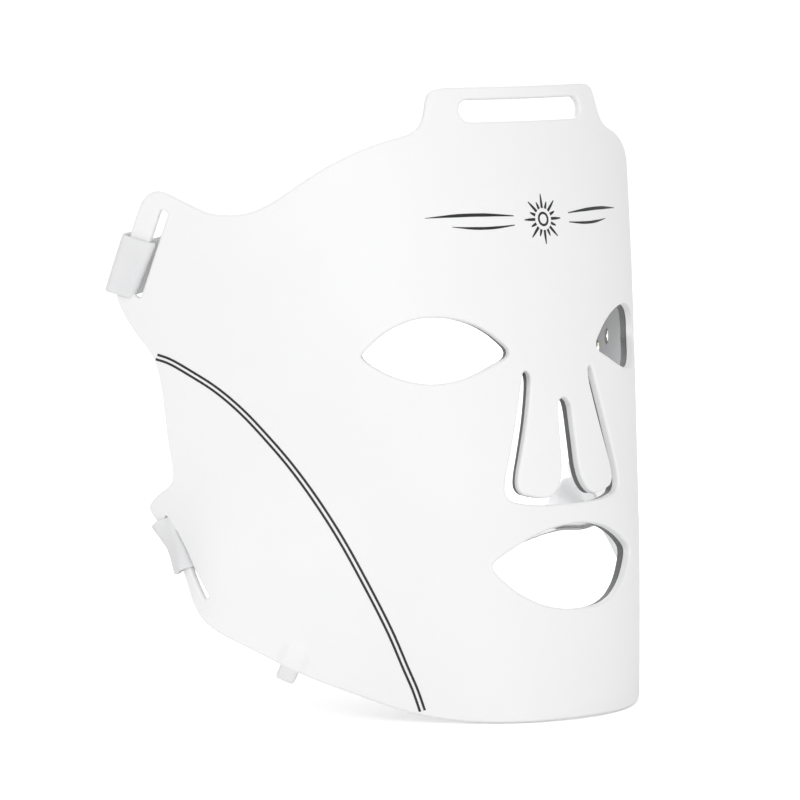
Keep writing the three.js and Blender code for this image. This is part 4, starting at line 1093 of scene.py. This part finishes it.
class Bar:
    """The bar of skin a strap loops round, on the +X half, with its axes in mm."""

    def __init__(self, spec):
        self.spec = spec
        way = np.array(spec["slot"]["way"])
        rearward = np.array((-way[1], way[0])) * -np.sign(way[1])
        self.half = spec["bar"] / 2
        centre = (np.array(spec["cad_slot"]) + rearward * (spec["cad_half"] + self.half)
                  + way * spec["shift"])
        self.origin, self.rear, slot_way = pattern_axes(centre, rearward, way, SHELL_T / 2)
        out = unit(np.cross(self.rear, slot_way))
        self.slotwise = unit(np.cross(out, self.rear))
        self.out = -out if np.dot(out, tangents(*centre)[2]) < 0 else out
        self.width_way = -self.slotwise if self.slotwise[2] < 0 else self.slotwise
        self.slide = self.slotwise * spec["along"]
        self.lead = self.at(0, -19.5)          # where the tail leaves the bar behind
        self.tail_y, self.tail_z = self.lead[1] + 1.0, self.lead[2]

    def at(self, rear, out):
        return self.origin + self.rear * rear + self.out * out

    def upper_tail(self, offset):
        rows = []
        drop = self.slotwise * self.spec["drop"]
        for back, upright in UPPER_TWIST:
            point = (abs(self.lead[0]) * (1 - back),
                     self.tail_y + offset * ease((back - 0.04) / 0.3), self.tail_z)
            rows.append(station(point, self.width_way * (1 - upright) + UPRIGHT * upright))
        rows.append(station(self.lead + self.slide * 0.5 + drop * 0.6, self.width_way))
        rows.append(station(self.at(1.6, -12.5) + self.slide * 0.8 + drop * 0.9, self.width_way))
        return rows

    def lower_tail(self, offset):
        """Slack: the band lies over flat between the fastener and the bar."""
        y, z = self.tail_y, self.tail_z
        return [
            station((46, y + offset, z - 0.6), UPRIGHT * 0.9 + FLAT * 0.3),
            station((56, y + offset * 0.8, z - 2.4), UPRIGHT * 0.3 + FLAT * 0.9),
            station((67, y + offset * 0.5, z - 3.6), FLAT),
            station((self.lead + self.at(0.2, -15)) / 2 + np.array([0, 0, -3.0]),
                    FLAT * 0.9 + self.width_way * 0.25),
            station(self.at(0.2, -11.0) + self.slide * 0.5 + np.array([0, 0, -1.2]),
                    self.width_way * 0.75 + FLAT * 0.35)]

    def loop(self):
        """Stations round the bar and back to the tail."""
        spec = self.spec
        front, rear = -self.half - 0.8, self.half + spec["reach"]
        rows = []
        # (rearwards, outwards)
        for x, y in ((rear * 0.86, -5.2), (rear, -2.2), (rear, 0.2), (rear - 0.55, 1.45),
                     (rear - 1.9, 1.95), (0.0, 1.98), (front + 1.9, 1.95), (front + 0.5, 1.45),
                     (front, 0.3), (front + 0.15, -1.2), (front + 1.4, -2.05),
                     (front + 3.0, -2.6), (0.6, -4.4), (1.2, -8.2)):
            dropped = min(1, -y / 8) if x < 2 and y < 0 else 0
            slip = spec["skew"] * (x - front) + spec["drop"] * dropped
            rows.append(station(self.at(x, y) + self.slide + self.slotwise * slip,
                                self.width_way + self.rear * spec["tilt"] * max(x, 0) / rear))
        return rows


def strap_path(bar, level, offset):
    """Returns the band's path, its shear per row, and the lap's rows, directions and normals."""
    shear = bar.spec["shear"]
    tail = [station((x, bar.tail_y + offset, bar.tail_z), UPRIGHT) for x in (-TIP, 10, 32)]
    tail += bar.upper_tail(offset) if level == "upper" else bar.lower_tail(offset)
    main = np.array(tail + bar.loop())
    # the turned-back end lies along the tail on the slot side, and is sewn to it
    path = smooth_path(main, PATH_STEP)
    ahead = unit(np.gradient(path[:, :3], axis=0))
    path[:, 3:] = square_to(path[:, 3:], ahead, 1 - shear)
    normal = unit(np.cross(ahead, path[:, 3:]))
    leave, enter = nearest(path, tail[-1]), nearest(path, main[len(tail)])
    if np.dot(normal[leave], bar.rear) > 0:
        normal = -normal
    middle = (leave + enter) // 2
    main[-1] = np.concatenate([path[middle, :3] + normal[middle] * 1.9, path[middle, 3:]])
    main[-2, 3:] = unit(main[-2, 3:] + path[middle, 3:])
    under = slice(leave - LAP_ROWS, leave)
    lap, lap_ahead, lap_normal = path[under][::-1].copy(), -ahead[under][::-1], normal[under][::-1]
    lap[:, :3] += lap_normal * LAP_GAP
    full = smooth_path(np.vstack([main, lap[1::2], lap[-1:]]), PATH_STEP)
    past = np.arange(len(full)) - nearest(full, main[-1])
    shears = (shear + (1 - shear) * np.clip(past / 3 + 1, 0, 1))[:, None]
    return full, shears, lap, lap_ahead, lap_normal


def build_band(name, path, shears, width, mirror):
    """Sweeps a flat band with soft edges along the path. Its UV is in mm."""
    centre = path[:, :3]
    ahead = unit(np.gradient(centre, axis=0))
    across = square_to(path[:, 3:], ahead, 1 - shears)
    normal = unit(np.cross(ahead, across))
    half_w, half_t = width / 2, STRAP_T / 2
    # a quarter of the section, from the edge to the middle
    quarter = [(half_w, 0), (half_w - 0.12, half_t * 0.6), (half_w - 0.42, half_t * 0.92),
               (half_w - 1.4, half_t), (half_w * 0.4, half_t * 1.04), (0, half_t * 1.05)]
    section = [(-x, y) for x, y in quarter] + quarter[-2::-1]
    section += [(x, -y) for x, y in quarter[1:]] + [(-x, -y) for x, y in quarter[-2:0:-1]]
    lengths = arc_lengths(centre)
    rows = range(len(path))
    verts = np.array([centre[i] + across[i] * x + normal[i] * y for i in rows for x, y in section])
    uvs = np.array([(lengths[i], x) for i in rows for x, y in section])
    faces = swept_faces(len(path), len(section))
    band = solid(name, [(to_frame(verts * mirror), faces)], FINISH["strap"])
    layer = band.data.uv_layers.new(name="UVMap")
    corners = np.zeros(len(band.data.loops), int)
    band.data.loops.foreach_get("vertex_index", corners)
    layer.data.foreach_set("uv", uvs[corners].ravel())
    return band


def build_stitches(name, lap, lap_ahead, lap_normal, mirror):
    """Two rows of stitches on the lap."""
    parts = []
    for row in STITCH_ROWS:
        normal, across = lap_normal[row], unit(lap[row, 3:])
        centre = lap[row, :3] + normal * 0.56
        for y in np.arange(-8.2, 8.3, STITCH_PITCH):
            start = centre + across * (y - STITCH_HALF)
            end = centre + across * (y + STITCH_HALF)
            line = spline(np.array([start - normal * 0.3,
                                    start * 0.75 + end * 0.25 + normal * 0.04,
                                    start * 0.25 + end * 0.75 + normal * 0.04,
                                    end - normal * 0.3]), sub=4)
            ahead = unit(np.gradient(line, axis=0))
            side_a = square_to(lap_ahead[row], ahead)
            side_b = np.cross(ahead, side_a)
            angles = [2 * math.pi * m / 6 for m in range(6)]
            verts = np.array([
                line[i] + THREAD_R * (math.cos(angle) * side_a[i] + math.sin(angle) * side_b[i])
                for i in range(len(line)) for angle in angles])
            parts.append((to_frame(verts * mirror), swept_faces(len(line), 6)))
    return solid(name, parts, FINISH["thread"])


def build_pad(name, bar, offset, seed):
    """Hook or loop patch: a pad with a short pile on the side that meets the other strap."""
    middle = bar.tail_y + offset - math.copysign(STRAP_T / 2 + 0.25 + 0.45, offset)
    inner = -math.copysign(1, offset)
    columns, rows = ((113, 35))
    x, z = np.meshgrid(np.linspace(-PAD_LONG / 2, PAD_LONG / 2, columns),
                       np.linspace(-PAD_WIDE / 2, PAD_WIDE / 2, rows), indexing="ij")
    rim_gap = np.minimum(PAD_LONG / 2 - np.abs(x), PAD_WIDE / 2 - np.abs(z))
    rounding = np.clip(rim_gap / 0.9, 0, 1) ** 0.5
    pile = np.random.default_rng(seed).random(x.shape) * 0.16
    pile_y = middle + inner * (0.12 + (PAD_T / 2 - 0.28) * rounding + pile * rounding)
    back_y = np.full_like(pile_y, middle - inner * (PAD_T / 2))
    verts = np.concatenate([np.stack([x, y, bar.tail_z + z], -1).reshape(-1, 3)
                            for y in (pile_y, back_y)])
    back, faces = columns * rows, []

    def index(i, j):
        return i * rows + j

    for i in range(columns - 1):
        for j in range(rows - 1):
            quad = (index(i, j), index(i + 1, j), index(i + 1, j + 1), index(i, j + 1))
            faces.append(quad)
            faces.append(tuple(quad[k] + back for k in (0, 3, 2, 1)))
    rim = [index(i, 0) for i in range(columns)]
    rim += [index(columns - 1, j) for j in range(1, rows)]
    rim += [index(i, rows - 1) for i in range(columns - 2, -1, -1)]
    rim += [index(0, j) for j in range(rows - 2, 0, -1)]
    faces += [(a, a + back, b + back, b) for a, b in zip(rim, rim[1:] + rim[:1])]
    return solid(name, [(to_frame(verts), faces)], FINISH["pile"])


for level, spec in LEVELS.items():
    bar = Bar(spec)
    for side, tag in SIDES:
        mirror = np.array([side, 1, 1])
        offset = -side * OFFSET
        body = "%s_strap_%s" % (level, tag)
        path, shears, *lap = strap_path(bar, level, offset)
        band = build_band("%s_strap_band_%s" % (level, tag), path, shears, spec["width"], mirror)
        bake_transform(band)
        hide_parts(body)
        thread = build_stitches("%s_strap_stitches_%s" % (level, tag), *lap, mirror)
        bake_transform(thread)
        kind = "hook" if side > 0 else "loop"
        pad = build_pad("%s_%s_pad" % (level, kind), bar, offset, seed=7 if side > 0 else 11)
        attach(pad, body)
        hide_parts("%s_%s_patch" % (level, kind))

# ------------------------------------------------------------ port housing
PORT_SEGMENTS = 48
PORT_HALF_W, PORT_HALF_H, PORT_CORNER = 3.2, 3.1, 1.6
PORT_DEPTH = SHELL_T / 2 + 1.05
# Outside: distance out along the port's axis, inset of the section.
PORT_BODY = ((-5.0, 0.9), (-5.1, 0.5), (-4.95, 0.15), (-4.6, 0.0), (-3.0, 0.0), (0.0, 0.0),
             (2.5, 0.0), (3.5, 0.05), (4.05, 0.22), (4.32, 0.5), (4.4, 0.85))
# Bore: distance out, radius.
PORT_BORE = ((4.4, 2.3), (4.3, 2.12), (4.1, 2.05), (0.0, 2.05), (-4.2, 2.05))


def rounded_rectangle(half_w, half_h, radius):
    points = []
    x, y = half_w - radius, half_h - radius
    for k, (corner_x, corner_y) in enumerate(((x, y), (-x, y), (-x, -y), (x, -y))):
        for i in range(PORT_SEGMENTS // 4):
            angle = math.pi / 2 * (k + (i + 0.5) / (PORT_SEGMENTS // 4))
            points.append((corner_x + radius * math.cos(angle),
                           corner_y + radius * math.sin(angle)))
    return points


def circle_points(radius):
    angles = [2 * math.pi * (i + 0.5) / PORT_SEGMENTS for i in range(PORT_SEGMENTS)]
    return [(radius * math.cos(angle), radius * math.sin(angle)) for angle in angles]


origin, edge_way, out_way = pattern_axes(PORT_CENTRE, PORT_ALONG, PORT_OUT, PORT_DEPTH)
thick_way = unit(np.cross(edge_way, out_way))
edge_way = unit(np.cross(out_way, thick_way))
sections = [(z, rounded_rectangle(PORT_HALF_W - inset, PORT_HALF_H - inset,
                                  max(0.5, PORT_CORNER - inset * 0.6)))
            for z, inset in PORT_BODY]
sections += [(z, circle_points(radius)) for z, radius in PORT_BORE]
verts = np.array([origin + edge_way * x + thick_way * y + out_way * z
                  for z, section in sections for x, y in section])
verts = verts * np.array([-1, 1, 1])
# The boss takes the darker copy of the white silicone, which is painted shade.
boss = solid("power_port_boss", [(to_frame(verts), swept_faces(len(sections), PORT_SEGMENTS))],
             FINISH["port"])
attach(boss, "wing_r")
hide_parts("power_port_housing")


# ------------------------------------------- carried-over CAD nodes' finish
def paint(obj, mat):
    obj.data.materials.clear()
    obj.data.materials.append(mat)


for name, obj in frame["nodes"].items():
    if name.startswith("flex_circuit"):
        paint(obj, FINISH["film"])
    elif name.startswith("led_row"):
        paint(obj, FINISH["led"])
    elif name in ("power_port_sleeve", "power_port_pin"):
        paint(obj, FINISH["metal"])

# ------------------------------------------------ floor, light and camera
FLOOR_HALF, FLOOR_Z = 60, -0.0002
mesh = bpy.data.meshes.new("floor")
mesh.from_pydata([(x * FLOOR_HALF, y * FLOOR_HALF, FLOOR_Z)
                  for x, y in ((-1, -1), (1, -1), (1, 1), (-1, 1))], [], [(0, 1, 2, 3)])
floor = add_object("floor", mesh)
surf = Surface("pale floor", color=(0.94, 0.94, 0.94), rough=0.9, spec=0.1)
surf.ramp(surf.noise(scale=4, detail=2), low=0.955, high=0.965, into="Base Color")
surf.set("Emission Color", (1, 1, 1, 1))
# the camera sees the floor as plain white, but it lights the mask as pale paint does
FLOOR_GLOW = 0.28
camera_ray = surf.add("ShaderNodeLightPath").outputs["Is Camera Ray"]
surf.link(surf.math("MULTIPLY", camera_ray, FLOOR_GLOW), surf.shader.inputs["Emission Strength"])
mesh.materials.append(surf.material)

WORLD_LIGHT, WORLD_SEEN_EXTRA = 0.66, 0.6      # the backdrop reads as plain white
world = bpy.data.worlds.new("studio")
bpy.context.scene.world = world
world.use_nodes = True
background = world.node_tree.nodes["Background"]
background.inputs["Color"].default_value = (1, 1, 1, 1)
background.inputs["Strength"].default_value = WORLD_LIGHT
sky = Nodes(world.node_tree)
camera_ray = sky.add("ShaderNodeLightPath").outputs["Is Camera Ray"]
sky.link(sky.math("MULTIPLY_ADD", camera_ray, WORLD_SEEN_EXTRA, WORLD_LIGHT),
         background.inputs["Strength"])


def place(data, location, target):
    """An object of the same name as its data, at a location and aimed at a target."""
    obj = add_object(data.name, data)
    obj.location = location
    way = Vector(target) - Vector(location)
    obj.rotation_euler = way.to_track_quat("-Z", "Y").to_euler()
    return obj


def softbox(name, location, target, size, power):
    light = bpy.data.lights.new(name, "AREA")
    light.shape, light.size, light.energy = "SQUARE", size, power
    obj = place(light, location, target)
    obj.visible_camera = False
    return obj


softbox("key", location=(-1.2, -1.43, 0.7), target=(0, 0, 0.1), size=1.1, power=8.5)
softbox("back light", location=(0.75, 1.25, 0.95), target=(0, 0, 0.1), size=0.8, power=6.0)
fill = softbox("fill behind the sheet", location=(0.03, 0.01, 0.1),
               target=(0.085, 0.025, 0.07), size=0.045, power=0.034)
fill.visible_glossy = False    # it lifts the shade behind the sheet, with no shine of its own

# The camera circles a point in the mask, and aims a little to the side of and above it.
AZIMUTH, ELEVATION = math.radians(-43.63), math.radians(7.628)
ORBIT_CENTRE, CAMERA_DISTANCE = (0, 45, 39.8), 1.7     # pattern-space mm, metres
AIM_RIGHT, AIM_UP = -0.03347, 0.06151                  # metres
back = Vector((math.sin(AZIMUTH) * math.cos(ELEVATION), -math.cos(AZIMUTH) * math.cos(ELEVATION),
               math.sin(ELEVATION)))
right = Vector((math.cos(AZIMUTH), math.sin(AZIMUTH), 0))
centre = (Vector(ORBIT_CENTRE) + Vector(SHIFT)) / 1000
camera = bpy.data.cameras.new("camera")
camera.lens, camera.sensor_width = 228.4, 36
camera.clip_start, camera.clip_end = 0.05, 100
scene = bpy.context.scene
scene.camera = place(camera, location=centre + back * CAMERA_DISTANCE,
                     target=centre + right * AIM_RIGHT + back.cross(right) * AIM_UP)
scene.view_settings.view_transform = "Standard"
scene.view_settings.look = "None"
scene.view_settings.exposure = 0.27
